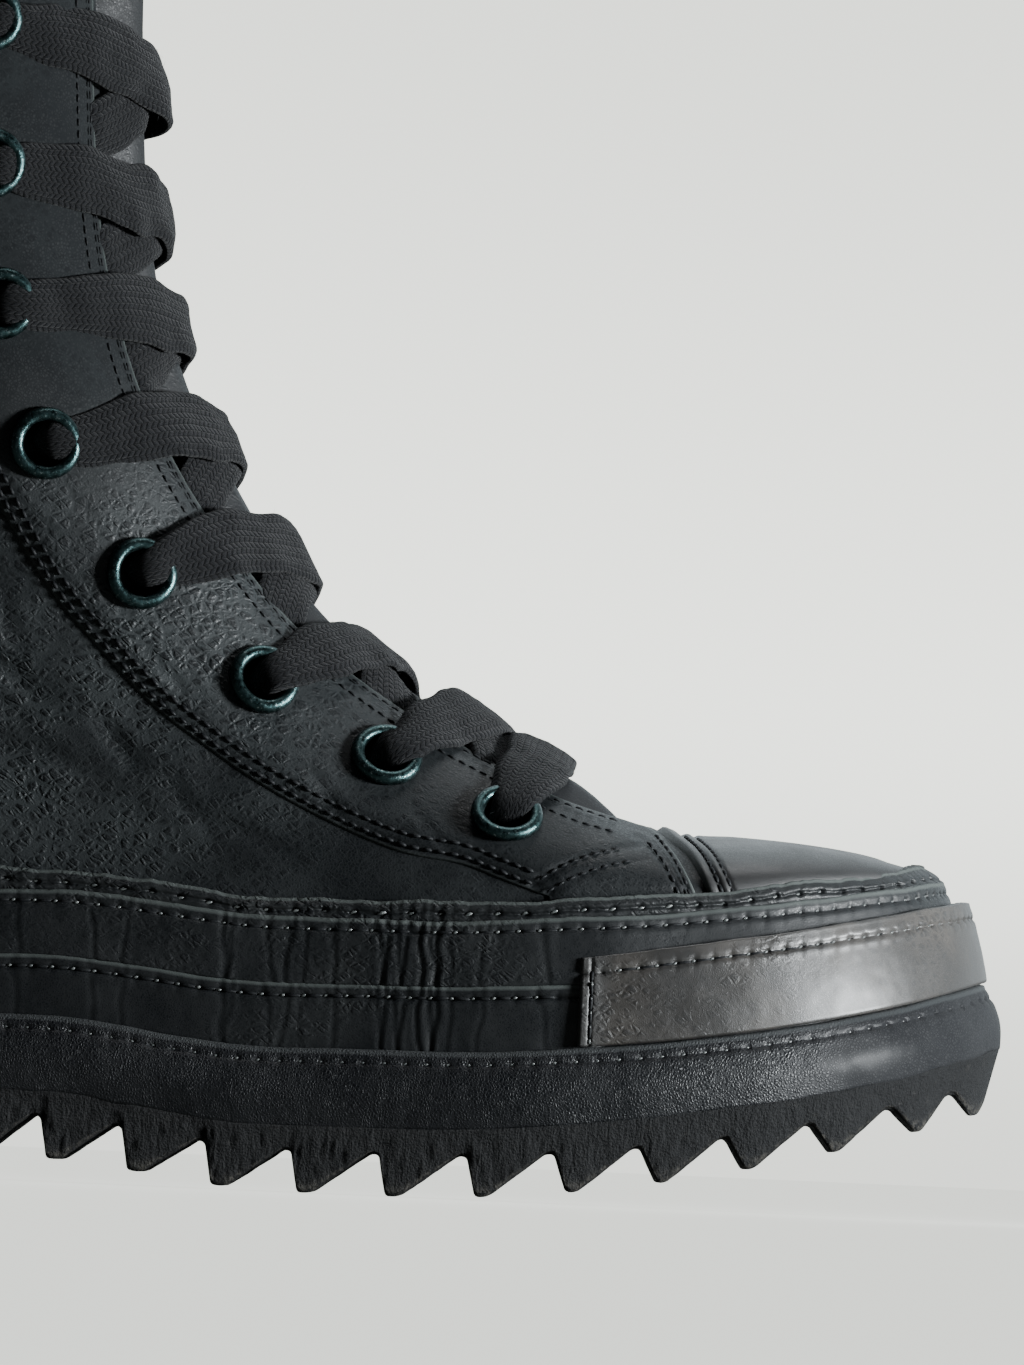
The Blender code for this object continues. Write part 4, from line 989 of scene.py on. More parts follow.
def build_bands():
    """Leather-wrapped platform: pebbled lower strip, middle strip, toe bumper, foxing and top tape."""
    turns = BAND_TURNS
    hidden = BUMPER_THICKNESS * toe_side(turns)
    made, rows = {}, []

    low = ("rubber", ragged(turns, 11, 0.35) - 0.5, -0.1)
    high = ("lower", ragged(turns, 13, 0.12), 0.0)
    relief = leather_relief(21, 0.8, ((3.0, SOLE_STITCH),))
    profile = strip_profile(26.0, 1.3, 0.9, 30, 16.0, (3.0,))
    _, made["midsole_lower"] = build_strip("midsole_lower_strip", low, high, turns, profile, relief,
                                           "pebbled", (31, 0.0))
    rows.append(row_on_band(("rubber", 0.0, 0.0), ("lower", 0.0, 0.0), (0.0, 1.0), relief, 3.0, SOLE_STITCH))

    low = ("lower", -0.4, MIDDLE_FOOT + hidden)
    high = ("middle", ragged(turns, 15, 0.12), BAND_INSET + hidden)
    relief = leather_relief(41, 0.7, ((2.8, SOLE_STITCH),), 0.7)
    profile = strip_profile(24.0, 0.25, 0.6, 24, 13.0, (2.8,))
    _, made["midsole_middle"] = build_strip("midsole_middle_strip", low, high, turns, profile, relief, "band",
                                            (33, 0.1))
    for turn_range in ((0.0, BUMPER_START - 0.008), (1.0 - BUMPER_START + 0.008, 1.0)):
        rows.append(row_on_band(("lower", GAP, MIDDLE_FOOT), ("middle", 0.0, BAND_INSET), turn_range, relief, 2.8,
                                SOLE_STITCH))

    low = ("middle", -0.4, tucked(0.0)(turns))
    high = ("foxing", ragged(turns, 17, 0.2), tucked(0.0)(turns))
    relief = leather_relief(51, 0.8, ((2.6, SOLE_STITCH),), 1.0)
    profile = strip_profile(3.4, 0.3, 0.6, 24, 13.0, (2.6,))
    _, made["foxing_upper"] = build_strip("foxing_strip", low, high, turns, profile, relief, "band", (35, 0.25))
    rows.append(row_on_band(("middle", GAP, tucked(0.0)), ("foxing", 0.0, tucked(0.0)), (0.0, 1.0), relief, 2.6,
                            SOLE_STITCH))

    low = ("foxing", -0.4, tucked(0.7)(turns))
    high = ("edge", 0.5 + ragged(turns, 19, 0.5), tucked(0.8)(turns))
    relief = leather_relief(61, 0.9, ((2.7, TAPE_STITCH, 0.95),), 0.5, 0.16)
    profile = strip_profile(2.6, 0.45, 0.6, 14, 4.0, (2.7,))
    _, made["top_tape"] = build_strip("top_tape_strip", low, high, turns, profile, relief, "band", (37, 0.3))
    tape_rows = [row_on_band(("foxing", GAP, tucked(0.8)), ("edge", 0.5, tucked(0.8)), (0.0, 1.0), relief, 2.7,
                             TAPE_STITCH)]

    start = BUMPER_START - 0.003
    turns = np.concatenate([np.linspace(start, 0.53, 560)[:-1], np.linspace(0.53, 1.0 - start, 140)])
    low = ("lower", GAP, BAND_INSET - BUMPER_PROUD)
    high = ("bumper", ragged(turns, 71, 0.15), BAND_INSET - BUMPER_PROUD)
    relief = leather_relief(73, 0.7, ((3.6, BUMPER_STITCH),))
    out = np.column_stack([outline_out(turns), np.zeros(len(turns))])
    rear = (np.abs(turns - 0.5) - (0.5 - start)) * BUMPER_TURN
    pull = out * (0.45 * hump(rear + 3.4, 0.5) + 1.9 * smooth((rear + 0.7) / 0.7))[None, :, None]
    profile = strip_profile(1.9, 0.35, 0.7, 34, 19.0, (3.6,))
    # Painted shade: the bumper is coloured darker over the last 4 to 11 mm before each rear edge.
    dark = np.broadcast_to(0.75 * smooth((rear + 11.0) / 7.0)[None, :], (len(profile), len(turns)))
    grid, made["toe_bumper"] = build_strip("toe_bumper_strip", low, high, turns, profile, relief, "bumper",
                                           (39, 0.2), closed=False, pull=pull, marks={"cut_edge_and_shade": dark})
    rows.append(row_on_band(low, ("bumper", 0.0, high[2]), (start + 0.006, 0.994 - start), relief, 3.6,
                            BUMPER_STITCH))
    for early in (True, False):
        place = int(np.argmin(np.abs(rear + 3.4) + 1000.0 * ((turns < 0.5) != early)))
        line = grid[6:-6, place]
        normal = np.repeat(out[place:place + 1], len(line), axis=0)
        rows.append(spaced(line + normal * 0.1, normal, 3.1))
    thread, twist = PAINTS["thread"], PAINTS["twist"]
    made["stitches"] = stitch_mesh("sole_stitches", rows, 3.5, 0.85, 0.15, thread)
    # Pale bits of thread before each stitch: painted glints.
    made["twists"] = stitch_mesh("thread_twists", twists(rows, SOLE_STITCH), 1.15, 0.62, 0.1, twist)
    made["tape_twists"] = stitch_mesh("tape_twists", twists(tape_rows, TAPE_STITCH), 2.1, 0.8, 0.15, twist)
    made["tape_stitches"] = stitch_mesh("tape_stitches", tape_rows, 4.6, 0.9, 0.2, thread)
    return made


# X, how far the riser leans forward, depth of the teeth below TOOTH_HEIGHT
TOOTH_WEAR = (
    (-160.0, 0.2, 0.0), (20.0, 0.4, 0.0), (58.0, 1.2, 0.2), (76.0, 3.0, 0.7), (96.0, 3.6, 1.3), (116.0, 3.6, 1.9),
    (134.0, 5.2, 2.3), (150.0, 5.0, 2.9),
)
# Corners of the toe lobe: X from TOE_TIP_X, height, radius.
TOE_LOBE = ((0.6, 5.6, 2.6), (0.0, 2.4, 3.0), (-1.6, 0.0, 3.0), (-3.2, 0.2, 1.6))


def tread_profile():
    """X and height below the rubber's body along the saw teeth, from toe to heel, with rounded tips and roots."""
    corners = [(TOE_TIP_X + shift, height, radius) for shift, height, radius in TOE_LOBE]
    tip = TOE_TIP_X
    root = tip - 7.0
    heel_end = OUTLINE_CENTRE - HALF_LENGTH + 6.0
    while True:
        pitch = float(look_up(TOOTH_PITCH, 1, tip))
        worn = float(look_up(TOOTH_WEAR, 2, tip))
        if tip - pitch - TIP_WIDTH < heel_end:
            corners += [(root, TOOTH_HEIGHT, 1.2)]
            break
        corners += [(root, TOOTH_HEIGHT - 0.3 - worn, 1.5), (root - ROOT_WIDTH, TOOTH_HEIGHT - worn, 1.4)]
        tip -= pitch
        lean = float(look_up(TOOTH_WEAR, 1, tip))
        corners += [(tip + 0.25 * lean, 0.0, 1.5 + 0.3 * lean),
                    (tip - TIP_WIDTH + 0.6 * lean, 0.0, 0.8 + 0.35 * lean)]
        root = tip - TIP_WIDTH - RISER_WIDTH - 0.15 * lean
    corners += [(heel_end - 3.0, TOOTH_HEIGHT * 0.86, 1.5), (heel_end - 5.0, TOOTH_HEIGHT * 0.6, 1.0)]
    return corners


def rounded_line(corners):
    """Polyline with each corner (x, z, radius) replaced by a short curve from radius before to radius after it."""
    points = np.array([corner[:2] for corner in corners], dtype=float)
    line = [points[:1]]
    share = np.linspace(0.0, 1.0, 7)[:, None]
    for index in range(1, len(points) - 1):
        here, before, after = points[index], points[index - 1], points[index + 1]
        back, ahead = before - here, after - here
        reach = min(corners[index][2], 0.45 * np.linalg.norm(back), 0.45 * np.linalg.norm(ahead))
        start = here + back / np.linalg.norm(back) * reach
        stop = here + ahead / np.linalg.norm(ahead) * reach
        line.append((1 - share) ** 2 * start + 2 * share * (1 - share) * here + share ** 2 * stop)
    line.append(points[-1:])
    line = np.vstack(line)
    stations = np.arange(0.0, travelled(line)[-1], 0.55)
    return resample(line, np.append(stations, travelled(line)[-1]))


WALL_ROWS = 15           # rows of vertices up each side wall of the rubber
ROOF_ROWS = 3            # rows across its hidden top


def by_part(wall, bottom, under):
    """Values by row of the outsole's grid: the lateral wall, the underside, the other wall, zero on the roof."""
    return np.concatenate([wall, np.full(under, bottom), wall[::-1], np.zeros(ROOF_ROWS)])


def build_outsole():
    """Rubber sole: saw teeth straight across, rough side walls that follow the platform's outline."""
    turns = np.arange(480) / 480
    top = layer_ring("rubber", turns)
    foot = outline(turns, wall_inset(turns, np.full(len(turns), 2.0)))
    line = rounded_line(tread_profile())
    front, rear = foot[:, 0].max() - 0.02, foot[:, 0].min() + 0.02
    x = np.clip(line[:, 0], rear, front)
    share = (x - rear) / (front - rear)
    top_x = top[:, 0].min() + 0.03 + share * (np.ptp(top[:, 0]) - 0.06)
    low_y = half_breadths(x, foot)
    top_y = half_breadths(top_x, top)
    low_z = rocker(x) + line[:, 1] + np.clip(rear + 1.5 - line[:, 0], 0.0, 3.0)
    top_z = rocker(top_x) + layer_height("rubber", top_x)
    rise = np.linspace(0.0, 1.0, WALL_ROWS)[:, None]
    lateral, medial = (np.stack([x + (top_x - x) * rise, low + (high - low) * rise, low_z + (top_z - low_z) * rise],
                                axis=-1) for low, high in zip(low_y, top_y))
    for wall in (lateral, medial):
        wall[0, :, 2] += 0.8
    across = np.concatenate([[0.006, 0.016], np.linspace(0.04, 0.96, 11), [0.984, 0.994]])[:, None]
    bottom = np.stack([np.broadcast_to(x, (len(across), len(x))), low_y[0] + (low_y[1] - low_y[0]) * across,
                       np.broadcast_to(low_z, (len(across), len(x)))], axis=-1)
    rim = np.clip(np.minimum(across, 1 - across) / 0.012, 0, 1)
    bottom[..., 2] += 0.8 * (1.0 - np.sqrt(np.clip(1 - (1 - rim) ** 2, 0, 1)))
    roof = np.linspace(0.0, 1.0, ROOF_ROWS + 2)[1:-1, None, None]
    roof = lateral[-1] * (1.0 - roof) + medial[-1] * roof
    grid = np.concatenate([lateral[::-1], bottom, medial, roof[::-1]])

    under = len(bottom)
    side = by_part(np.ones(WALL_ROWS), 0.0, under)
    side[:WALL_ROWS] = -1.0
    reach = by_part(np.concatenate([np.linspace(0, 1, 5), np.ones(WALL_ROWS - 5)]), 1.0, under)
    rough = 0.20 * noise(grid, 2.2, 81) + 0.22 * noise(grid * np.array([1.0, 1.0, 0.3]), 0.9, 82)
    rough = (rough + 0.25 * noise(grid, 9.0, 83)) * smooth((front - x) / 4.0) * smooth((x - rear) / 4.0)
    grid[..., 1] += (side * reach)[:, None] * rough
    for end in (0, -1):
        grid[:, end, 1] = grid[:, end, 1].mean()
    chips = np.clip(noise(grid, 4.0, 84), 0.0, 1.0) * 0.25
    below = by_part(np.zeros(WALL_ROWS), 1.0, under)[:, None]
    grid[..., 2] += (below * (0.10 * noise(grid, 1.8, 85) + chips)) * (line[:, 1] > 0.4)

    tip = hump(np.broadcast_to(line[:, 1], grid.shape[:2]), 1.6) * np.where(side != 0, 0.9, 1.0)[:, None]
    down = np.clip((grid[..., 2] - low_z) / 3.0, 0.0, 1.0)
    edge = 0.9 * by_part(np.arange(WALL_ROWS) >= WALL_ROWS - 2, 0.0, under)[:, None]
    return sheet_mesh("outsole_rubber", grid, PAINTS["rubber"], rolled=True,
                      marks={"tip": np.maximum(tip * (1.0 - down), edge)})


# ---- upper ----
# Creases listed in the side view of the outer side: start, end, depth, width. Negative depths are ridges.
CREASES = (
    # x,     z,     x,     z,    depth, width
    (-78.0, 120.0, -52.0, 104.0, 0.9, 2.2), (-84.0, 112.0, -50.0, 96.0, 0.7, 1.8),
    (-74.0, 97.0, -40.0, 90.0, 0.8, 2.0), (-80.0, 88.0, -46.0, 84.0, 0.6, 1.8),
    (-66.0, 128.0, -58.0, 112.0, 0.5, 1.6), (-30.0, 90.0, -12.0, 76.0, 0.5, 1.7),
    (-44.0, 104.0, -30.0, 88.0, 0.7, 1.6), (-20.0, 84.0, 4.0, 72.0, 0.4, 1.6),
    (-96.0, 106.0, -72.0, 84.0, 0.5, 2.4), (-110.0, 126.0, -84.0, 118.0, 0.7, 2.6),
    (-118.0, 112.0, -92.0, 100.0, 0.6, 2.4), (-34.0, 119.0, -22.0, 103.0, 0.5, 1.3),
    (-46.0, 136.0, -34.0, 120.0, 0.4, 1.4), (-26.0, 122.0, -12.0, 104.0, 0.4, 1.2),
    (-14.0, 96.0, 10.0, 88.0, 0.4, 1.3), (2.0, 92.0, 14.0, 80.0, 0.4, 1.2),
    (-62.0, 148.0, -52.0, 138.0, 0.4, 1.3), (-54.0, 152.0, -44.0, 142.0, 0.3, 1.1),
    (26.0, 84.0, 38.0, 73.0, 0.3, 1.2), (12.0, 84.0, 30.0, 78.0, 0.25, 1.1),
    (-94.0, 150.0, -70.0, 158.0, 0.6, 2.8), (-100.0, 172.0, -78.0, 176.0, 0.5, 3.0),
    (-128.0, 150.0, -106.0, 158.0, 0.8, 3.4), (-126.0, 170.0, -100.0, 180.0, 0.6, 3.2),
    (-126.0, 130.0, -100.0, 142.0, 0.5, 3.0), (56.0, 86.0, 66.0, 79.0, 0.3, 1.2),
)
DIMPLES = (
    # x,     z,    depth, radius
    (-60.0, 108.0, 1.0, 9.0), (-36.0, 98.0, 0.7, 7.0), (-96.0, 140.0, 1.2, 14.0), (-108.0, 176.0, 1.0, 16.0),
    (-16.0, 88.0, 0.4, 6.0), (-24.0, 110.0, 0.4, 5.0), (10.0, 86.0, 0.35, 5.0), (36.0, 80.0, 0.3, 5.0),
)


def creases(x, z, side):
    """Outward relief of the flexed leather: troughs along CREASES with a soft ridge to both sides, and DIMPLES."""
    spots = np.stack([x, z, np.full(np.shape(x), 17.0 * side)], axis=-1)
    slant = 1.4 * noise(spots, 9.0, 91)
    total = 0.32 * noise(spots, 24.0, 93 + side) + 0.12 * noise(spots, 7.0, 95 + side)
    strength = 1.0 if side < 0 else 0.7
    for start_x, start_z, end_x, end_z, depth, width in CREASES:
        run = np.array([end_x - start_x, end_z - start_z])
        length = np.hypot(*run)
        run /= length
        along = (x - start_x) * run[0] + (z - start_z) * run[1]
        away = (x - start_x) * -run[1] + (z - start_z) * run[0] + slant
        ends = smooth(along / (0.35 * length)) * smooth((length - along) / (0.35 * length))
        shape = -hump(away, width) + 0.55 * hump(np.abs(away) - 2.0 * width, width * 1.1)
        total = total + strength * depth * ends * shape
    for dimple_x, dimple_z, depth, radius in DIMPLES:
        total = total - strength * depth * hump(np.hypot(x - dimple_x, z - dimple_z), radius)
    for eyelet_x, eyelet_z in EYELETS:
        gap = np.hypot(x - eyelet_x, z - eyelet_z)
        total = total * (1.0 - hump(gap, 7.5)) - 0.15 * hump(gap - EYELET_RIM, 1.2)
    collar = smooth((COLLAR_Z - z) / 8.0)
    return 0.62 * total * collar


def off_ridge(x, z):
    """Share of the relief that is left beside the centre line: none on it, all of it 5 mm away."""
    return smooth((nearest(RIDGE_CURVE, x, z)[0] - 0.4) / 5.0)


def skin_points(x, z, side, lift):
    """Points on the creased outer face and its plain normals, at points of the side view."""
    normal = outward(x, z, side)
    point = np.stack([x, breadth(x, z, side), z], axis=-1)
    return point + normal * (creases(x, z, side) * off_ridge(x, z) + lift)[..., None], normal


def flexed(x, z):
    """How far the upper's leather has been flexed: most over the ankle's front, little over the toe."""
    quarter = hump((x + 52.0) / 46.0, 1.0) * hump((z - 104.0) / 36.0, 1.0)
    stays = 0.4 * hump((x + 30.0) / 40.0, 1.0) * hump((z - 120.0) / 40.0, 1.0)
    return np.clip(0.22 + 0.95 * quarter + stays - 0.25 * smooth((x - 70.0) / 20.0), 0.0, 1.0)


def dulled(points):
    """How dull the leather is: the shaft over the ankle is matt."""
    return smooth((points[..., 2] - 135.0) / 50.0)


def open_holes(points, side, radius):
    """Grid points that lie outside every eyelet hole of one side."""
    free = np.ones(points.shape[:2], dtype=bool)
    for x, z in EYELETS:
        centre = np.array([x, float(breadth(x, z, side)), z])
        free &= np.linalg.norm(points - centre, axis=-1) > radius
    return free


def faces_kept(free):
    """Faces of a grid with all four corners free, as a mask on their first corner."""
    keep = free.copy()
    keep[:-1] &= free[1:]
    keep[:, :-1] &= keep[:, 1:] & free[:, 1:]
    return keep


TOE_SHARE = 60           # columns of the upper's grid over the toe
THROAT_SHARE = 130       # the same along the throat
COLLAR_SHARE = 70        # the same along the collar


def top_line():
    """Side view of the upper's top edge: toe ridge, throat edge, collar, back seam's upper end."""
    toe = RIDGE_CURVE[(RIDGE_CURVE[:, 0] > THROAT[0][0] + 2.5) & (RIDGE_CURVE[:, 0] < TOE_POINT[0] - 2.0)]
    toe = evenly(toe, TOE_SHARE)
    throat = through(THROAT, THROAT_SHARE)
    collar_share = 0.5 - 0.5 * np.cos(math.pi * np.linspace(0.0, 1.0, COLLAR_SHARE + 1)[1:])
    collar_x = THROAT[-1][0] + (BACK[-1][0] - THROAT[-1][0]) * collar_share
    return np.vstack([toe, throat, np.column_stack([collar_x, np.full(COLLAR_SHARE, COLLAR_Z)])])


def upper_grid(side, rows=100):
    """Side-view x and z of the upper, rows from the feather edge up to the top line by columns from toe to heel."""
    top = top_line()
    half = len(EDGE_TURNS) // 2
    share = np.interp(-top[:TOE_SHARE, 0], -EDGE_RING[half::-1, 0], np.linspace(0.0, 1.0, half + 1))
    share[0] = 0.0
    onward = np.linspace(0.0, 1.0, THROAT_SHARE + COLLAR_SHARE + 1)[1:]
    turns = 0.5 + side * 0.5 * np.concatenate([share, share[-1] + (1.0 - share[-1]) * onward])
    edge = layer_ring("edge", turns, -TUCK, FOOT_INSET)
    level = 1.0 - (1.0 - np.linspace(0.0, 1.0, rows)[:, None]) ** 1.5
    places = np.arange(len(top))
    behind = smooth((places - TOE_SHARE - THROAT_SHARE * 0.5) / (THROAT_SHARE * 0.5))
    ends = smooth((30.0 - top[:, 0]) / 60.0) * smooth((top[:, 0] + 148.0) / 60.0)
    z = edge[:, 2] * (1.0 - level) + top[:, 1] * level
    straight_back = HEEL_POINT[0] + (BACK_CURVE[-1, 0] - HEEL_POINT[0]) * level
    x = edge[:, 0] * (1.0 - level) + top[:, 0] * level - 0.5 * ANKLE_BOW * np.sin(math.pi * level) * ends
    x = x + behind * (np.interp(z, BACK_CURVE[:, 1], BACK_CURVE[:, 0]) - straight_back)
    return x, z, layer_ring("middle", turns, SEAT_GAP, FOOT_INSET)


def half_upper(side, lift=0.0, relief=True, rows=100, step=1):
    """Grid of one half of the upper with its tucked foot, points moved out by lift, and its side view."""
    x, z, foot = upper_grid(side, rows)
    x, z, foot = x[:, ::step], z[:, ::step], foot[::step]
    plain = np.stack([x, breadth(x, z, side), z], axis=-1)
    plain[:, -1, 1] = 0.0
    plain[:, 0, 1] = 0.0
    normal = outward(x, z, side)
    ends = np.minimum(np.arange(x.shape[1]), np.arange(x.shape[1])[::-1])
    calm = smooth(ends / 8.0)
    normal[:, -1] = unit(normal[:, -1] * np.array([1.0, 0.0, 1.0]) + np.array([-1e-6, 0, 0]))
    amount = creases(x, z, side) * calm * off_ridge(x, z) if relief else np.zeros(x.shape)
    points = plain + normal * (amount + lift)[..., None]
    tucked_foot = np.stack([foot + normal[0] * lift * np.array([1.0, 1.0, 0.0]), foot * 0.4 + points[0] * 0.6])
    return np.concatenate([tucked_foot, points]), x, z


def joined_sides(lateral, medial):
    """One grid from both halves: lateral from heel to toe, then medial from toe to heel."""
    return np.concatenate([lateral[:, ::-1], medial[:, 1:]], axis=1)


def build_upper():
    """Outer face, rolled over its top edge, and the grey lining inside it, with holes at the eyelets."""
    halves, masks, flexes, linings, lining_masks = [], [], [], [], []
    for side in (-1, 1):
        outer, x, z = half_upper(side)
        inner = half_upper(side, -WALL, relief=False)[0]
        edge_out = unit(outer[-1] - outer[-2])
        toe_part = np.arange(outer.shape[1]) < TOE_SHARE
        roll = [outer[-1] * (1 - share) + inner[-1] * share + edge_out * 0.5 * math.sin(math.pi * share)
                for share in (0.25, 0.5, 0.75)]
        strip = np.stack(roll + [inner[-1], inner[-2]])
        strip[:, toe_part] = outer[-1, toe_part]
        strip[:, toe_part, 1] = 0.0
        outer[-1, toe_part, 1] = 0.0
        halves.append(np.concatenate([outer, strip]))
        mask = np.ones(halves[-1].shape[:2], dtype=bool)
        mask[:len(outer)] = open_holes(outer, side, LEATHER_HOLE)
        mask[len(outer):, :TOE_SHARE - 1] = False
        masks.append(mask)
        flex = flexed(x, z)
        flexes.append(np.concatenate([flex[:1], flex[:1], flex, np.zeros((len(strip), x.shape[1]))]))
        lining = half_upper(side, -WALL, relief=False, rows=50, step=2)[0]
        lining[:, 0, 1] = 0.0
        linings.append(lining)
        lining_masks.append(open_holes(lining, side, LEATHER_HOLE))
    grid = joined_sides(*halves)
    upper = sheet_mesh("upper_leather", grid, PAINTS["upper"], keep=faces_kept(joined_sides(*masks)),
                       marks={"flex": joined_sides(*flexes), "dull": dulled(grid)})
    lining = sheet_mesh("upper_lining", joined_sides(*linings), PAINTS["lining"],
                        keep=faces_kept(joined_sides(*lining_masks)), flip=True)
    return upper, lining


# ---- panels over the upper ----
def tape_line(start_x, end_x, count):
    """Side view of the line just inside the top tape."""
    x = np.linspace(start_x, end_x, count)
    return np.column_stack([x, rocker(x) + layer_height("edge", x) - 1.2])


STAY_REAR = 352          # columns of an eyestay's grid along its eyelets
STAY_FRONT = 79          # the same round its front tip
SEAM_CURVE = through(QUARTER_SEAM, 300)
FRONT_CURVE = through(EYESTAY_FRONT, 60)
VAMP_CURVE = through(VAMP_SEAM, 60)
CAP_CURVE = through(CAP_EDGE, 60)


def panel_rows(width, face_rows):
    """Shares of a panel's width: rows packed along both edges, then even ones."""
    rim = np.array([0.0, 0.05, 0.2, 0.45, 0.8, 1.2])
    width = np.maximum(width, 3.0)
    low = rim[:, None] / width
    middle = np.linspace(0.0, 1.0, face_rows)[1:-1, None]
    inner = low[-1] + (1.0 - 2.0 * low[-1]) * middle
    return np.concatenate([low, inner, 1.0 - low[::-1]])


def edge_lift(distance, thickness, radius):
    """Height of a panel's face near its cut edge: upright at the edge, rounded over radius, then flat."""
    inside = np.clip(distance / radius, 0.0, 1.0)
    return -0.25 + (thickness + 0.25) * np.sqrt(1.0 - (1.0 - inside) ** 2)


def panel(name, low_curve, high_curve, side, face_rows, thickness, troughs):
    """Panel with eyelet holes between two curves of the side view, lying on the upper's own creased face."""
    width = np.linalg.norm(high_curve - low_curve, axis=1)
    share = panel_rows(width, face_rows)
    x = low_curve[:, 0] * (1.0 - share) + high_curve[:, 0] * share
    z = low_curve[:, 1] * (1.0 - share) + high_curve[:, 1] * share
    reach = np.minimum(share, 1.0 - share) * np.maximum(width, 3.0)
    lift = edge_lift(reach, 0.45 * thickness, 0.6) + 0.55 * thickness * smooth(reach / 5.5)
    ends = np.minimum(np.arange(len(width)), np.arange(len(width))[::-1])
    lift = np.where((ends == 0)[None, :], -0.25, lift)
    for curve, depth, spread in troughs:
        gap, _ = nearest(curve, x, z)
        lift = lift - depth * hump(gap, spread)
    points, _ = skin_points(x, z, side, lift)
    cut_edge_and_shade = hump(reach, 0.5) * np.where(share > 0.5, 1.0, 0.35)
    return sheet_mesh(name, points, PAINTS["upper"], keep=faces_kept(open_holes(points, side, PANEL_HOLE)),
                      flip=side < 0, marks={"flex": flexed(x, z), "cut_edge_and_shade": cut_edge_and_shade, "dull": dulled(points)})


def eyestay_curves():
    """Lower and upper edge of the eyestay in the side view, from the collar to its front tip."""
    tape = tape_line(QUARTER_SEAM[0][0], EYESTAY_FRONT[-1][0], 40)
    return [np.vstack([evenly(rear[::-1], STAY_REAR), evenly(front, STAY_FRONT)[1:]])
            for rear, front in ((SEAM_CURVE, tape), (THROAT_CURVE, FRONT_CURVE))]


def shifted(curve, offset):
    """Curve of the side view moved sideways by offset, to the left of its run."""
    run = unit(np.gradient(curve, axis=0))
    return curve + np.column_stack([-run[:, 1], run[:, 0]]) * offset


def seam_row(curve, side, lift, step, phase=0.5):
    """Stitches along a curve of the side view, lying on the creased upper."""
    fine = resample(curve, np.arange(0.0, travelled(curve)[-1], 0.7))
    points, normals = skin_points(fine[:, 0], fine[:, 1], side, lift)
    return spaced(points, normals, step, phase)


CAP_ROWS = 50            # rows of the toe cap's grid on each side
CAP_COLUMNS = 120
CROWN_ROWS = 34          # row from which the toe cap crowns over the ridge


def crowned(grid, first, last):
    """Grid with the rows between first and last drawn as one smooth crown, level with the rows to both sides."""
    start, stop = grid[first], grid[last]
    chord = np.linalg.norm(stop - start, axis=-1, keepdims=True)
    leave, arrive = unit(start - grid[first - 3]) * chord, unit(grid[last + 3] - stop) * chord
    share = np.linspace(0.0, 1.0, last - first + 1)[:, None, None]
    made = grid.copy()
    made[first:last + 1] = ((2 * share ** 3 - 3 * share ** 2 + 1) * start
                            + (share ** 3 - 2 * share ** 2 + share) * leave
                            + (3 * share ** 2 - 2 * share ** 3) * stop + (share ** 3 - share ** 2) * arrive)
    return made


def mirrored(lateral, medial):
    """One grid over the ridge: the lateral rows upwards, then the medial ones downwards."""
    return np.concatenate([lateral, medial[::-1][1:]])


def build_toe_cap():
    """Toe cap over both sides of the toe, with a groove and ridge along its rear edge."""
    ridge = RIDGE_CURVE[(RIDGE_CURVE[:, 0] > CAP_CURVE[0, 0] + 0.1) & (RIDGE_CURVE[:, 0] < TOE_POINT[0])]
    top = evenly(np.vstack([TOE_POINT, ridge]), CAP_COLUMNS)
    share = 1.0 - (1.0 - np.linspace(0.0, 1.0, CAP_ROWS)[:, None]) ** 2.2
    places = np.arange(CAP_COLUMNS)
    halves, flexes, raws = [], [], []
    for side in (-1, 1):
        foot = layer_ring("edge", 0.5 + side * np.linspace(0.0, 0.5, 400), -TUCK, FOOT_INSET)
        foot = evenly(foot[:np.argmax(foot[:, 0] < CAP_CURVE[-1, 0])][:, [0, 2]], CAP_COLUMNS)
        x = foot[:, 0] * (1.0 - share) + top[:, 0] * share
        z = foot[:, 1] * (1.0 - share) + top[:, 1] * share
        edge_x = np.interp(-z, -CAP_CURVE[:, 1], CAP_CURVE[:, 0])
        pull = smooth((places - CAP_COLUMNS * 0.5) / (CAP_COLUMNS * 0.5))
        x = x + pull * (edge_x - (foot[-1, 0] * (1.0 - share) + top[-1, 0] * share))
        reach = np.maximum(x - edge_x, 0.0)
        lift = edge_lift(reach, PANEL_LIFT, 0.9) - 0.8 * hump(reach - 3.0, 0.6) - 0.45 * hump(reach - 5.4, 0.5)
        normal = outward(x, z, side)
        normal[-1, :, 1] = 0.0
        normal[-1] = unit(normal[-1])
        slack = np.stack([x, breadth(x, z, side), z], axis=-1)
        slack[-1, :, 1] = 0.0
        slack[:, 0, 1] = 0.0
        dents = 0.18 * noise(slack, 14.0, 101) * smooth((CAP_COLUMNS - places) / 10.0)
        halves.append(slack + normal * (lift + dents)[..., None])
        flexes.append(0.10 + 0.1 * noise(slack, 20.0, 103))
        raws.append(hump(reach, 0.5) * 0.6)
    grid = crowned(mirrored(*halves), CROWN_ROWS, 2 * (CAP_ROWS - 1) - CROWN_ROWS)
    return sheet_mesh("toe_cap_leather", grid, PAINTS["cap"], flip=True,
                      marks={"flex": mirrored(*flexes), "cut_edge_and_shade": mirrored(*raws)})


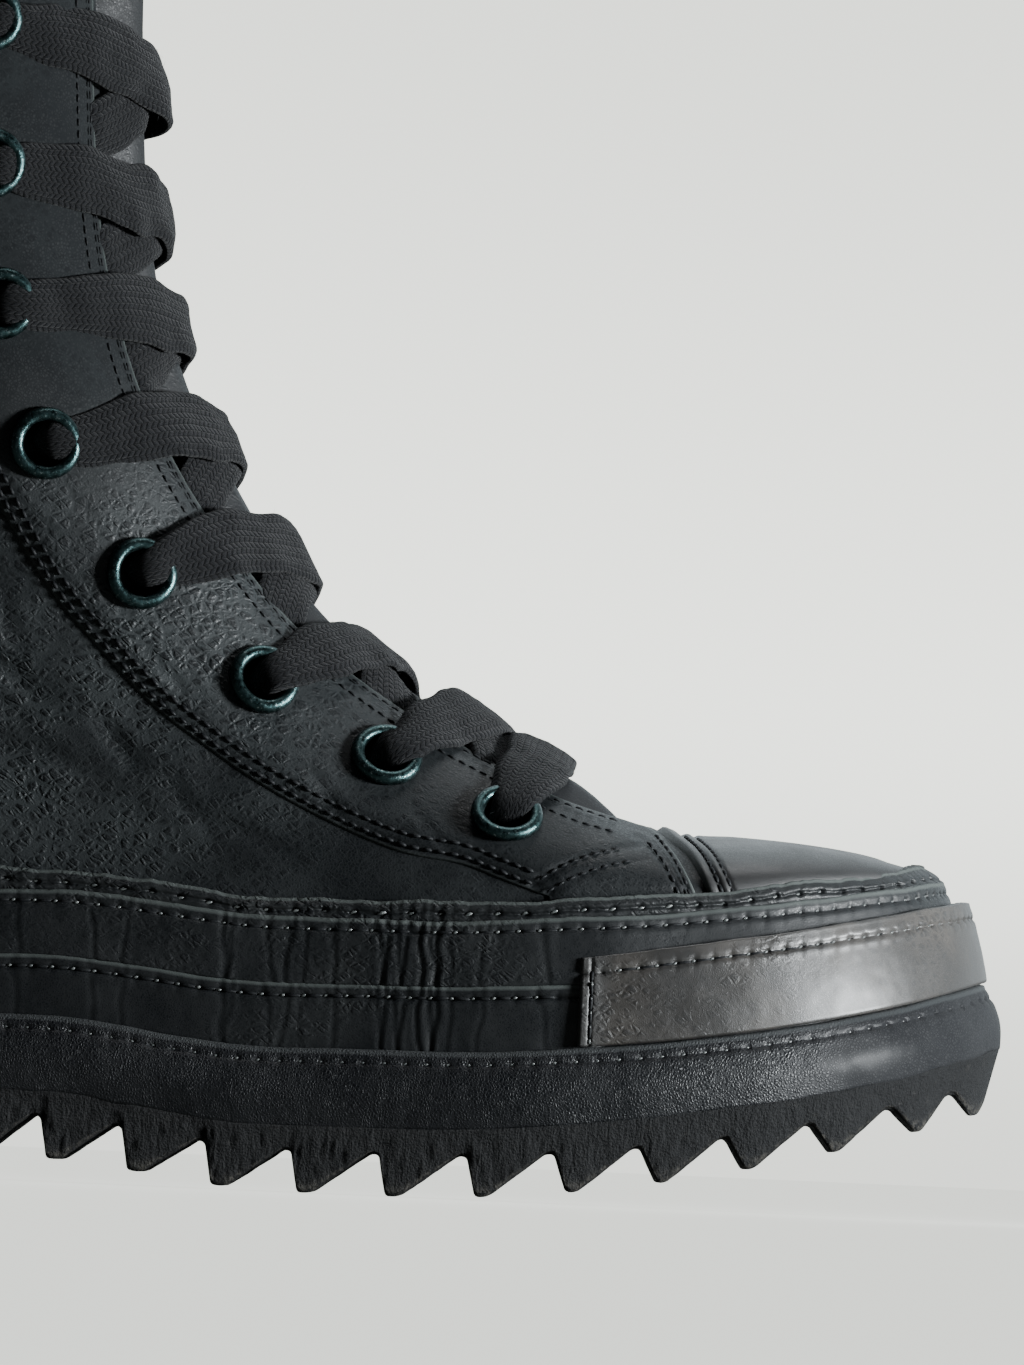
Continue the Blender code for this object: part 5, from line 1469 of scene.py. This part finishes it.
def build_panels():
    """Toe cap, both eyestays, and every row of fine stitches on the upper."""
    made = {"toe_cap": build_toe_cap()}
    low, high = eyestay_curves()
    troughs = [(shifted(curve, offset), depth, spread) for curve, offset, depth, spread in (
        (VAMP_CURVE, 0.0, 0.45, 0.7), (VAMP_CURVE, -3.2, 0.25, 0.5), (SEAM_CURVE, -1.5, 0.3, 0.55),
        (SEAM_CURVE, -3.8, 0.3, 0.55), (FRONT_CURVE, -1.5, 0.35, 0.5), (FRONT_CURVE, -3.7, 0.35, 0.5))]
    on_face = PANEL_LIFT + 0.05
    rows, heavy = [], []
    for side, name in ((-1, "eyestay_lateral"), (1, "eyestay_medial")):
        made[name] = panel(f"{name}_leather", low, high, side, 36, PANEL_LIFT, troughs)
        for offset, sunk in ((-1.5, 0.5), (-3.8, 0.12)):
            heavy.append(seam_row(shifted(SEAM_CURVE, offset)[4:], side, on_face - sunk, 2.9, 0.3 - offset * 0.1))
        for offset in (1.9, 4.4):
            rows.append(seam_row(shifted(THROAT_CURVE, offset)[4:-3], side, on_face, 2.6, 0.4))
        for offset in (-1.5, -3.7):
            heavy.append(seam_row(shifted(FRONT_CURVE, offset)[14:], side, on_face - 0.2, 3.1, 0.4))
        for offset in (0.0, -3.0):
            rows.append(seam_row(shifted(VAMP_CURVE, offset)[4:-6], side, on_face - 0.15, 2.6))
        for offset in (3.0, 5.4):
            heavy.append(seam_row(CAP_CURVE[2:] + np.array([offset, 0.0]), side, PANEL_LIFT - 0.35, 2.6))
        rows.append(seam_row(BACK_CURVE[4:-3] + np.array([0.35, 0.0]), side, 0.0, 2.8))
    made["seams"] = stitch_mesh("upper_stitches", rows, 1.9, 0.62, 0.22, PAINTS["thread"])
    made["edge_seams"] = stitch_mesh("edge_stitches", heavy, 2.3, 0.9, 0.3, PAINTS["thread"])
    return made


# ---- tongue, insole, eyelets ----
TONGUE_THICKNESS = 4.0
TONGUE_HALF = 31.0       # half the tongue's width before it spreads towards its top
TONGUE_CLEARANCE = 2.1   # gap between the tongue and the lining
TONGUE_ROWS = 150
SECTION_DEPTH = 72.0     # how far under the ridge a section of the lining is followed


def lining_section(ridge, out, side, depth_below):
    """Depth under the ridge and Y of the upper's lining, in the section through a ridge point."""
    depth = np.linspace(0.0, SECTION_DEPTH, 145)
    y = np.abs(breadth(ridge[0] - out[0] * depth, ridge[1] - out[1] * depth, side))
    rise = np.maximum.accumulate(y)
    slope_depth = np.gradient(depth)
    slope_y = np.gradient(rise)
    length = np.hypot(slope_depth, slope_y)
    return depth + depth_below * slope_y / length, rise - depth_below * slope_depth / length


def build_tongue():
    """Tongue: along the lining under the eyelet rows, bulged and puffed between them."""
    centre = through(TONGUE_LINE, TONGUE_ROWS)
    across = np.sin(np.linspace(-math.pi / 2, math.pi / 2, 49))
    ahead = unit(np.gradient(centre, axis=0))
    outs = np.column_stack([ahead[:, 1], -ahead[:, 0]])
    _, place = nearest(RIDGE_CURVE, centre[:, 0], centre[:, 1])
    ridges = np.column_stack([np.interp(place, np.arange(len(RIDGE_CURVE)), values) for values in RIDGE_CURVE.T])
    rows_up = np.linspace(0.0, 13.0, TONGUE_ROWS)
    halves = TONGUE_HALF * (0.95 + 0.3 * smooth((rows_up - 2.0) / 3.5) + 0.6 * smooth((rows_up - 4.5) / 6.0))
    outer = np.zeros((TONGUE_ROWS, len(across), 3))
    for row in range(TONGUE_ROWS):
        out = outs[row]
        for side in (-1, 1):
            chosen = (across < 0) if side < 0 else (across >= 0)
            depth, reach = lining_section(ridges[row], out, side, WALL + TONGUE_CLEARANCE)
            first = int(np.argmax(reach > 0.0))
            section = np.vstack([(depth[first], 0.0), np.column_stack([depth, reach])[first:]])
            arc = travelled(section)
            distance = np.abs(across[chosen]) * halves[row]
            y = np.interp(distance, arc, section[:, 1])
            lining = ridges[row] - out * np.interp(distance, arc, section[:, 0])[:, None]
            blend = smooth((y - 4.0) / 9.0)[:, None]
            point = centre[row] * (1.0 - blend) + lining * blend
            outer[row, chosen] = np.column_stack([point[:, 0], side * y, point[:, 1]])
    for _ in range(24):
        outer[1:-1] = (outer[:-2] + 2.0 * outer[1:-1] + outer[2:]) / 4.0
    direction = np.column_stack([outs[:, 0], np.zeros(TONGUE_ROWS), outs[:, 1]])[:, None, :]
    swell = 0.35 * noise(outer, 15.0, 111) + 0.12 * noise(outer, 4.0, 112) - 0.2
    outer = outer + direction * swell[..., None]
    face = grid_normals(outer)
    face = face * np.sign((face * direction).sum(axis=-1).mean())
    inner = outer - face * TONGUE_THICKNESS
    grid = np.concatenate([outer, inner[:, ::-1]], axis=1)
    caps = [grid[:1] * 0.5 + grid[:1].mean(axis=1, keepdims=True) * 0.5, grid[:1]]
    tail = [grid[-1:], grid[-1:] * 0.5 + grid[-1:].mean(axis=1, keepdims=True) * 0.5]
    grid = np.concatenate(caps + [grid[1:-1]] + tail)
    return sheet_mesh("tongue_leather", grid, PAINTS["tongue"], closed=True,
                      marks={"flex": np.full(grid.shape[:2], 0.35)})


def build_insole():
    """Insole on the platform inside the upper, dished towards its edge."""
    turns = np.arange(160) / 160
    inset = FOOT_INSET + WALL + 1.2 + 10.0 * toe_share(turns)
    low = layer_ring("middle", turns, SEAT_GAP, inset)
    high = layer_ring("middle", turns, SEAT_GAP + 2.6, inset)
    edge = layer_ring("middle", turns, SEAT_GAP + 3.0, inset + 0.7)
    middle, low_middle = edge * (1.0, 0.0, 1.0), low * (1.0, 0.0, 1.0)
    rings = [low_middle + (low - low_middle) * share for share in np.linspace(0.0, 1.0, 6)[:-1]]
    rings += [low, high, edge]
    rings += [edge + (middle - edge) * share for share in np.linspace(0.0, 1.0, 14)[1:]]
    return sheet_mesh("insole_leather", np.array(rings), PAINTS["insole"], closed=True)


# Section of an eyelet ring: radius, height over the panel, from the hole's edge over the flange and the barrel.
EYELET_SECTION = (
    (5.05, 0.4), (EYELET_HOLE, 1.1), (5.2, 1.75), (5.75, 2.15), (6.5, 2.25), (7.25, 1.95), (7.75, 1.4),
    (EYELET_RIM, 0.75), (7.85, 0.1), (7.0, 0.0), (EYELET_BARREL, -0.1), (EYELET_BARREL, -4.5), (7.6, -4.6),
    (7.4, -5.2), (6.2, -5.4), (5.2, -5.1), (EYELET_HOLE, -4.2), (EYELET_HOLE, -2.0),
)


def eyelet_rings(row_name, side):
    """Row of turned rings: EYELET_SECTION turned about each hole's axis, its radius a little uneven."""
    section = np.array(EYELET_SECTION)
    angle = np.linspace(0.0, 2 * math.pi, 41)[:-1]
    x, z = column(EYELETS, 0), column(EYELETS, 1)
    normal = outward(x, z, side)
    centre = np.stack([x, breadth(x, z, side), z], axis=-1) + normal * (PANEL_LIFT + 0.05)
    first = unit(np.cross(normal, np.array([0.0, 0.0, 1.0])))
    second = np.cross(normal, first)
    spin = first[:, None] * np.cos(angle)[None, :, None] + second[:, None] * np.sin(angle)[None, :, None]
    dents = 1.0 + 0.010 * np.sin(3.0 * angle + np.arange(len(x))[:, None] * 1.7)[:, None, :, None]
    points = (centre[:, None, None] + spin[:, None] * section[None, :, None, :1] * dents
              + normal[:, None, None] * section[None, :, None, 1:])
    return copied_mesh(f"eyelets_{row_name}", points.reshape(len(x), -1, 3),
                       tube_corners(len(section), len(angle), rolled=True), PAINTS["brass"])


# ---- lace ----
LACE_WIDTH = 15.0
LACE_THICKNESS = 2.7
LACE_STATIONS = 80       # rows of vertices along one crossing
TUBE_WIDTH = 7.5         # width of the lace where it is bunched in an eyelet
LACE_SIDES = 36
FIBRE_COUNT = 9000


def eyelet_spot(number, side, lift):
    """Point over an eyelet and its normal."""
    x, z = EYELETS[number]
    normal = outward(np.array([x]), np.array([z]), side)[0]
    return np.array([x, float(breadth(x, z, side)), z]) + normal * lift, normal


def throat_spot(share, side, lift):
    """Point over the throat's edge at a share of its length, and its normal."""
    x, z = THROAT_CURVE[int(round(share * CURVE_STEPS))]
    normal = outward(np.array([x - 0.8]), np.array([z - 0.8]), side)[0]
    return np.array([x, float(breadth(x, z, side)), z]) + normal * lift, normal


def ridge_spot(share, lift):
    """Point over the middle of the tongue beside a share of the throat's length, and its normal."""
    x, z = THROAT_CURVE[int(round(share * CURVE_STEPS))]
    _, place = nearest(TONGUE_CURVE, np.array([x]), np.array([z]))
    index = int(np.clip(round(float(place[0])), 1, CURVE_STEPS - 1))
    ahead = TONGUE_CURVE[index + 1] - TONGUE_CURVE[index - 1]
    out = np.array([ahead[1], -ahead[0]]) / np.linalg.norm(ahead)
    out = out if out.sum() > -0.1 else -out
    return (np.array([TONGUE_CURVE[index, 0] + out[0] * lift, 0.0, TONGUE_CURVE[index, 1] + out[1] * lift]),
            np.array([out[0], 0.0, out[1]]))


def station_of(number):
    """Share of the throat's length that lies beside an eyelet."""
    _, place = nearest(THROAT_CURVE, np.array([EYELETS[number][0]]), np.array([EYELETS[number][1]]))
    return float(place[0]) / CURVE_STEPS


def eyelet_knots(number, side, share):
    """Knots (point, normal, width, thickness) from inside an eyelet to the near edge of the throat."""
    hole, out = eyelet_spot(number, side, -3.5)
    mouth, _ = eyelet_spot(number, side, 3.3)
    edge, edge_out = throat_spot(share, side, PANEL_LIFT + 1.6)
    run = unit(edge - mouth)
    return [(hole, out, TUBE_WIDTH, 3.6), (mouth + run * 1.6 - out * 0.3, out, 9.0, 3.3),
            (mouth * 0.62 + edge * 0.38 + out * 1.5, unit(out + 0.3 * edge_out), 12.0, 2.9),
            (edge + edge_out * 0.4, edge_out, LACE_WIDTH, LACE_THICKNESS)]


def lace_run(number, side, over):
    """Knots of one crossing: up through its eyelet, over the near edge and the tongue, under the far edge.

    The lowest one is a straight bar that goes down through the eyelet on the other side.
    """
    last = max(number - 1, 0)
    start, finish = station_of(number), station_of(last)
    near, half, far = (start + (finish - start) * part for part in (0.22, 0.5, 0.78))
    middle, middle_out = ridge_spot(half, 2.9 + over)
    knots = eyelet_knots(number, side, near) + [(middle, middle_out, LACE_WIDTH, LACE_THICKNESS)]
    if not number:
        return knots + eyelet_knots(0, -side, far)[::-1]
    edge, edge_out = throat_spot(far, -side, -1.2)
    eye, eye_out = eyelet_spot(last, -side, -WALL - 2.2)
    slope = unit(eye - edge)
    return knots + [(edge + unit(middle - edge) * 2.2 + edge_out, unit(edge_out + 0.5 * middle_out), 14.0,
                     LACE_THICKNESS),
                    (edge + slope * 5.0 - edge_out * 2.0, edge_out, 12.0, 2.4),
                    (eye - slope * 3.0, eye_out, 9.5, 2.4)]


def ribbon(knots, seed):
    """Grid of a flat lace along its knots: rounded-box section, cupped where it is bunched, and its UV."""
    points = np.array([knot[0] for knot in knots])
    faces = np.array([knot[1] for knot in knots])
    sizes = np.array([knot[2:] for knot in knots], dtype=float)
    travel = unit(np.gradient(points, axis=0))
    travel[0] = travel[1]
    if sizes[-1, 0] == TUBE_WIDTH:
        travel[-1] = travel[-2]
    wide = unit(np.cross(faces, travel))
    places = np.linspace(0.0, len(knots) - 1, 12 * len(knots))
    fine = spline(points, places)
    along = travelled(fine)
    at = np.interp(np.linspace(0.0, along[-1], LACE_STATIONS), along, places)
    path = spline(points, at)
    wide = unit(spline(wide, at))
    size = spline(sizes, at)
    run = unit(np.gradient(path, axis=0))
    wide = unit(wide - run * (wide * run).sum(axis=1, keepdims=True))
    up = np.cross(run, wide)
    distance = travelled(path)
    spots = np.column_stack([distance, np.full(LACE_STATIONS, 7.0 * seed), np.zeros(LACE_STATIONS)])
    path = path + up * (0.5 * noise(spots, 11.0, seed))[:, None]
    path = path + wide * noise(spots, 14.0, seed + 1)[:, None]
    tilt = 0.26 * noise(spots, 13.0, seed + 2)[:, None]
    wide, up = wide * np.cos(tilt) + up * np.sin(tilt), up * np.cos(tilt) - wide * np.sin(tilt)
    angle = np.linspace(0.0, 2 * math.pi, LACE_SIDES + 1)[:-1]
    flat = np.sign(np.cos(angle)) * np.abs(np.cos(angle)) ** 0.55
    thick = np.sign(np.sin(angle)) * np.abs(np.sin(angle)) ** 0.75
    half_wide = size[:, :1] / 2 * (1.0 + 0.09 * noise(spots, 7.0, seed + 3)[:, None])
    across = half_wide * flat
    bunch = np.clip((LACE_WIDTH - size[:, :1]) / LACE_WIDTH, 0.0, 1.0)
    cup = -(0.05 + 0.85 * bunch) * (across / half_wide) ** 2 * half_wide * 0.5
    surface = np.stack([np.broadcast_to(distance[:, None], across.shape), across * 2.0,
                        np.full(across.shape, float(seed))], axis=-1)
    lumps = 0.10 * noise(surface, 2.2, seed + 4)
    buckle = 0.55 * noise(surface * (1.0, 0.6, 1.0), 6.5, seed + 5) + 0.25 * noise(surface, 3.4, seed + 6)
    height = size[:, 1:] / 2 * thick + cup + lumps * np.sign(thick) + buckle
    grid = path[:, None] + wide[:, None] * across[..., None] + up[:, None] * height[..., None]
    full = np.broadcast_to(LACE_WIDTH / 2 * flat, across.shape)
    uv = np.stack([np.broadcast_to(distance[:, None] + 31.0 * seed, across.shape), full + 40.0], axis=-1)
    closings = [end * 0.3 + end.mean(axis=1, keepdims=True) * 0.7 for end in (grid[:1], grid[-1:])]
    return np.concatenate([closings[0], grid, closings[1]]), np.concatenate([uv[:1], uv, uv[-1:]])


def build_laces():
    """One flat braided lace: a bar over the lowest eyelets, a crossing pair for each row above, and its fuzz."""
    runs = [lace_run(0, -1, 0.0)]
    for number in range(1, len(EYELETS)):
        runs += [lace_run(number, -1, 1.3), lace_run(number, 1, -1.3)]
    grids, uvs = zip(*(ribbon(knots, order + 3) for order, knots in enumerate(runs)))
    rows, sides = grids[0].shape[:2]
    points = np.stack(grids).reshape(len(runs), -1, 3)
    lace = copied_mesh("lace_braid", points, tube_corners(rows, sides), PAINTS["lace"],
                       np.stack(uvs).reshape(len(runs), -1, 2))
    normals = np.concatenate([-grid_normals(grid).reshape(-1, 3) for grid in grids])
    return lace, build_fuzz(points.reshape(-1, 3), normals)


def build_fuzz(points, normals):
    """Loose cotton fibres: thin curved strips that start on the lace and curl away from it."""
    count = FIBRE_COUNT
    chance = np.random.default_rng(17)
    chosen = chance.integers(0, len(points), count)
    start, up = points[chosen], unit(normals[chosen])
    up = unit(up + 0.7 * chance.normal(size=(count, 3)))
    curl = unit(np.cross(up, chance.normal(size=(count, 3))))
    length = 0.5 + 1.5 * chance.random(count) ** 2.0
    share = np.linspace(0.0, 1.0, 4)
    spine = (start[:, None] + up[:, None] * (share[None] * length[:, None])[..., None]
             + curl[:, None] * (share[None] ** 2 * length[:, None] * 0.6)[..., None])
    side = unit(np.cross(up, curl))[:, None] * (0.035 * (1.0 - 0.6 * share))[None, :, None]
    strip = np.stack([spine - side, spine + side], axis=2).reshape(count, 8, 3)
    return copied_mesh("lace_fibres", strip, [(0, 1, 3, 2), (2, 3, 5, 4), (4, 5, 7, 6)], PAINTS["fibre"])


# ---- assembly ----
NODE_SLOTS = {"outsole": "black_rubber", "midsole_lower": "pebbled_leather", "midsole_middle": "black_leather",
              "foxing_upper": "black_leather", "top_tape": "black_leather", "toe_bumper": "waxed_leather",
              "toe_cap": "black_leather", "eyestay_lateral": "black_leather", "eyestay_medial": "black_leather"}


def declare(piece, slot_name, *nodes):
    """Rides the part's one body and stands for CAD nodes if any are named; slot_name is not used."""
    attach(piece, "root")
    if nodes:
        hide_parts(*nodes)


def build_shoe():
    """Builds every visible piece and ties it to the frame."""
    declare(build_outsole(), "black_rubber", "outsole")
    bands = build_bands()
    panels = build_panels()
    for node, piece in list(bands.items()) + list(panels.items()):
        if node in NODE_SLOTS:
            declare(piece, NODE_SLOTS[node], node)
        else:
            declare(piece, "black_leather")
    upper, lining = build_upper()
    declare(upper, "black_leather", "upper")
    declare(lining, "black_leather")
    declare(build_tongue(), "tongue_leather", "tongue")
    declare(build_insole(), "insole_leather", "insole")
    for side, row_name in ((-1, "outer"), (1, "inner")):
        nodes = [f"eyelet_{row_name}_{number}" for number in range(1, len(EYELETS) + 1)]
        declare(eyelet_rings(row_name, side), "patinated_brass", *nodes)
    lace, fuzz = build_laces()
    declare(lace, "charcoal_cotton", "laces")
    declare(fuzz, "charcoal_cotton")


# ---- stage, light, camera ----
BACKGROUND = (0.975, 1.0, 0.93)
SKYLIGHT = (0.84, 0.95, 1.0)

# Strength of the pale surroundings, as the camera sees them and as they light the shoe.
FLOOR_SEEN, FLOOR_FELT = 1.35, 0.05
FLOOR_BASE = 0.12         # share of the backdrop's colour that the floor throws back
HORIZON_SEEN, WALL_SEEN, SKY_SEEN = 1.6, 2.55, 1.85
WALL_STRENGTH = 2.35      # the pale wall behind the shoe
ROOM_SHARE = 0.016        # how bright the dark half of the room is beside it

FLOOR_RADII = (1.0, 400.0, 1200.0, 4000.0, 14000.0, 60000.0)
FLOOR_SIDES = 64
FLOOR_LEVEL = -0.05

# Rectangular lights: place, aim, size, watts, colour.
LIGHTS = {
    "key": ((700.0, -330.0, 130.0), (60.0, 0.0, 50.0), (200.0, 120.0), 25.0, (0.93, 0.975, 1.0)),
    "top": ((200.0, 150.0, 1500.0), (0.0, 0.0, 100.0), (700.0, 700.0), 9.0, (1.0, 1.0, 1.0)),
}

CAMERA_DISTANCE = 6000.0
CAMERA_HEIGHT = 8.0
FRAME_HEIGHT = 296.7      # height of the frame at the shoe
FRAME_CENTRE = (47.26, -20.0, 112.74)
CAMERA_SHIFT = 4.64       # how far the camera stands ahead of the frame's centre
CAMERA_ROLL = math.radians(2.5)
SENSOR = 36.0


def seen_or_felt(tree, seen, felt):
    """Value that a camera ray meets, and another for the light that reaches the shoe."""
    path = tree.nodes.new("ShaderNodeLightPath")
    chosen = tree.nodes.new("ShaderNodeMix")
    chosen.data_type = "FLOAT"
    values = (path.outputs["Is Camera Ray"], felt, seen)
    for socket, given in zip(chosen.inputs[0:1] + chosen.inputs[2:4], values):
        link(tree, given, socket)
    return chosen.outputs[0]


def build_stage():
    """Wide pale floor that runs out to the pale grey of the backdrop."""
    angle = np.linspace(0.0, 2 * math.pi, FLOOR_SIDES + 1)[:-1]
    radii = np.array(FLOOR_RADII)[:, None]
    level = np.full((len(radii), FLOOR_SIDES), FLOOR_LEVEL)
    grid = np.stack([radii * np.cos(angle), radii * np.sin(angle), level], axis=-1)
    made, tree, shader = new_material("pale floor", BACKGROUND)
    shader.inputs["Base Color"].default_value = (*[FLOOR_BASE * value for value in BACKGROUND], 1.0)
    shader.inputs["Roughness"].default_value = 0.9
    shader.inputs["Specular IOR Level"].default_value = 0.0
    shader.inputs["Emission Color"].default_value = (*BACKGROUND, 1.0)
    link(tree, seen_or_felt(tree, FLOOR_SEEN, FLOOR_FELT), shader.inputs["Emission Strength"])
    floor = sheet_mesh("floor", grid, made, closed=True)


def build_world():
    """Even pale backdrop; the light comes from a pale wall behind the shoe, and the room before it is dim."""
    world = bpy.data.worlds.new("pale room")
    bpy.context.scene.world = world
    world.use_nodes = True
    tree = world.node_tree
    back = tree.nodes["Background"]
    place = tree.nodes.new("ShaderNodeTexCoord")
    split = tree.nodes.new("ShaderNodeSeparateXYZ")
    link(tree, place.outputs["Generated"], split.inputs[0])
    path = tree.nodes.new("ShaderNodeLightPath")
    link(tree, mixed(tree, path.outputs["Is Camera Ray"], (*SKYLIGHT, 1.0), (*BACKGROUND, 1.0)),
         back.inputs["Color"])
    low = fade(tree, split.outputs[2], 0.0, 0.018, HORIZON_SEEN, WALL_SEEN)
    drop = fade(tree, split.outputs[2], 0.012, 0.045, 0.0, WALL_SEEN - SKY_SEEN)
    seen = math_node(tree, "SUBTRACT", low, drop)
    felt = times(tree, fade(tree, split.outputs[1], -0.1, 0.7, ROOM_SHARE, 1.0),
                 fade(tree, split.outputs[2], 0.0, 0.3, WALL_STRENGTH, 0.8 * WALL_STRENGTH))
    link(tree, seen_or_felt(tree, seen, felt), back.inputs["Strength"])


def build_lights():
    """Area lights of LIGHTS, turned towards what they aim at."""
    for name, (place, aim, size, power, colour) in LIGHTS.items():
        data = bpy.data.lights.new(name, "AREA")
        data.shape = "RECTANGLE"
        data.size, data.size_y = size[0] * MM, size[1] * MM
        data.energy = power
        data.color = colour
        light = bpy.data.objects.new(name, data)
        light.location = Vector(place) * MM
        light.rotation_mode = "QUATERNION"
        light.rotation_quaternion = (Vector(aim) - Vector(place)).to_track_quat("-Z", "Y")
        bpy.context.scene.collection.objects.link(light)


def build_camera():
    """Long lens on the outer side, just over the floor, rolled so that the tread line falls to the left."""
    target = Vector(FRAME_CENTRE)
    eye = Vector((target.x + CAMERA_SHIFT, target.y - CAMERA_DISTANCE, CAMERA_HEIGHT))
    back = (eye - target).normalized()
    right = Vector((-math.sin(CAMERA_ROLL), 0.0, math.cos(CAMERA_ROLL))).cross(back).normalized()
    up = back.cross(right)
    data = bpy.data.cameras.new("camera")
    data.sensor_width = SENSOR
    data.lens = SENSOR * CAMERA_DISTANCE / FRAME_HEIGHT
    data.clip_start, data.clip_end = 0.1, 200.0
    camera = bpy.data.objects.new("camera", data)
    camera.location = eye * MM
    camera.rotation_mode = "QUATERNION"
    camera.rotation_quaternion = Matrix((right, up, back)).transposed().to_quaternion()
    bpy.context.scene.collection.objects.link(camera)
    bpy.context.scene.camera = camera


build_shoe()
build_stage()
build_world()
build_lights()
build_camera()
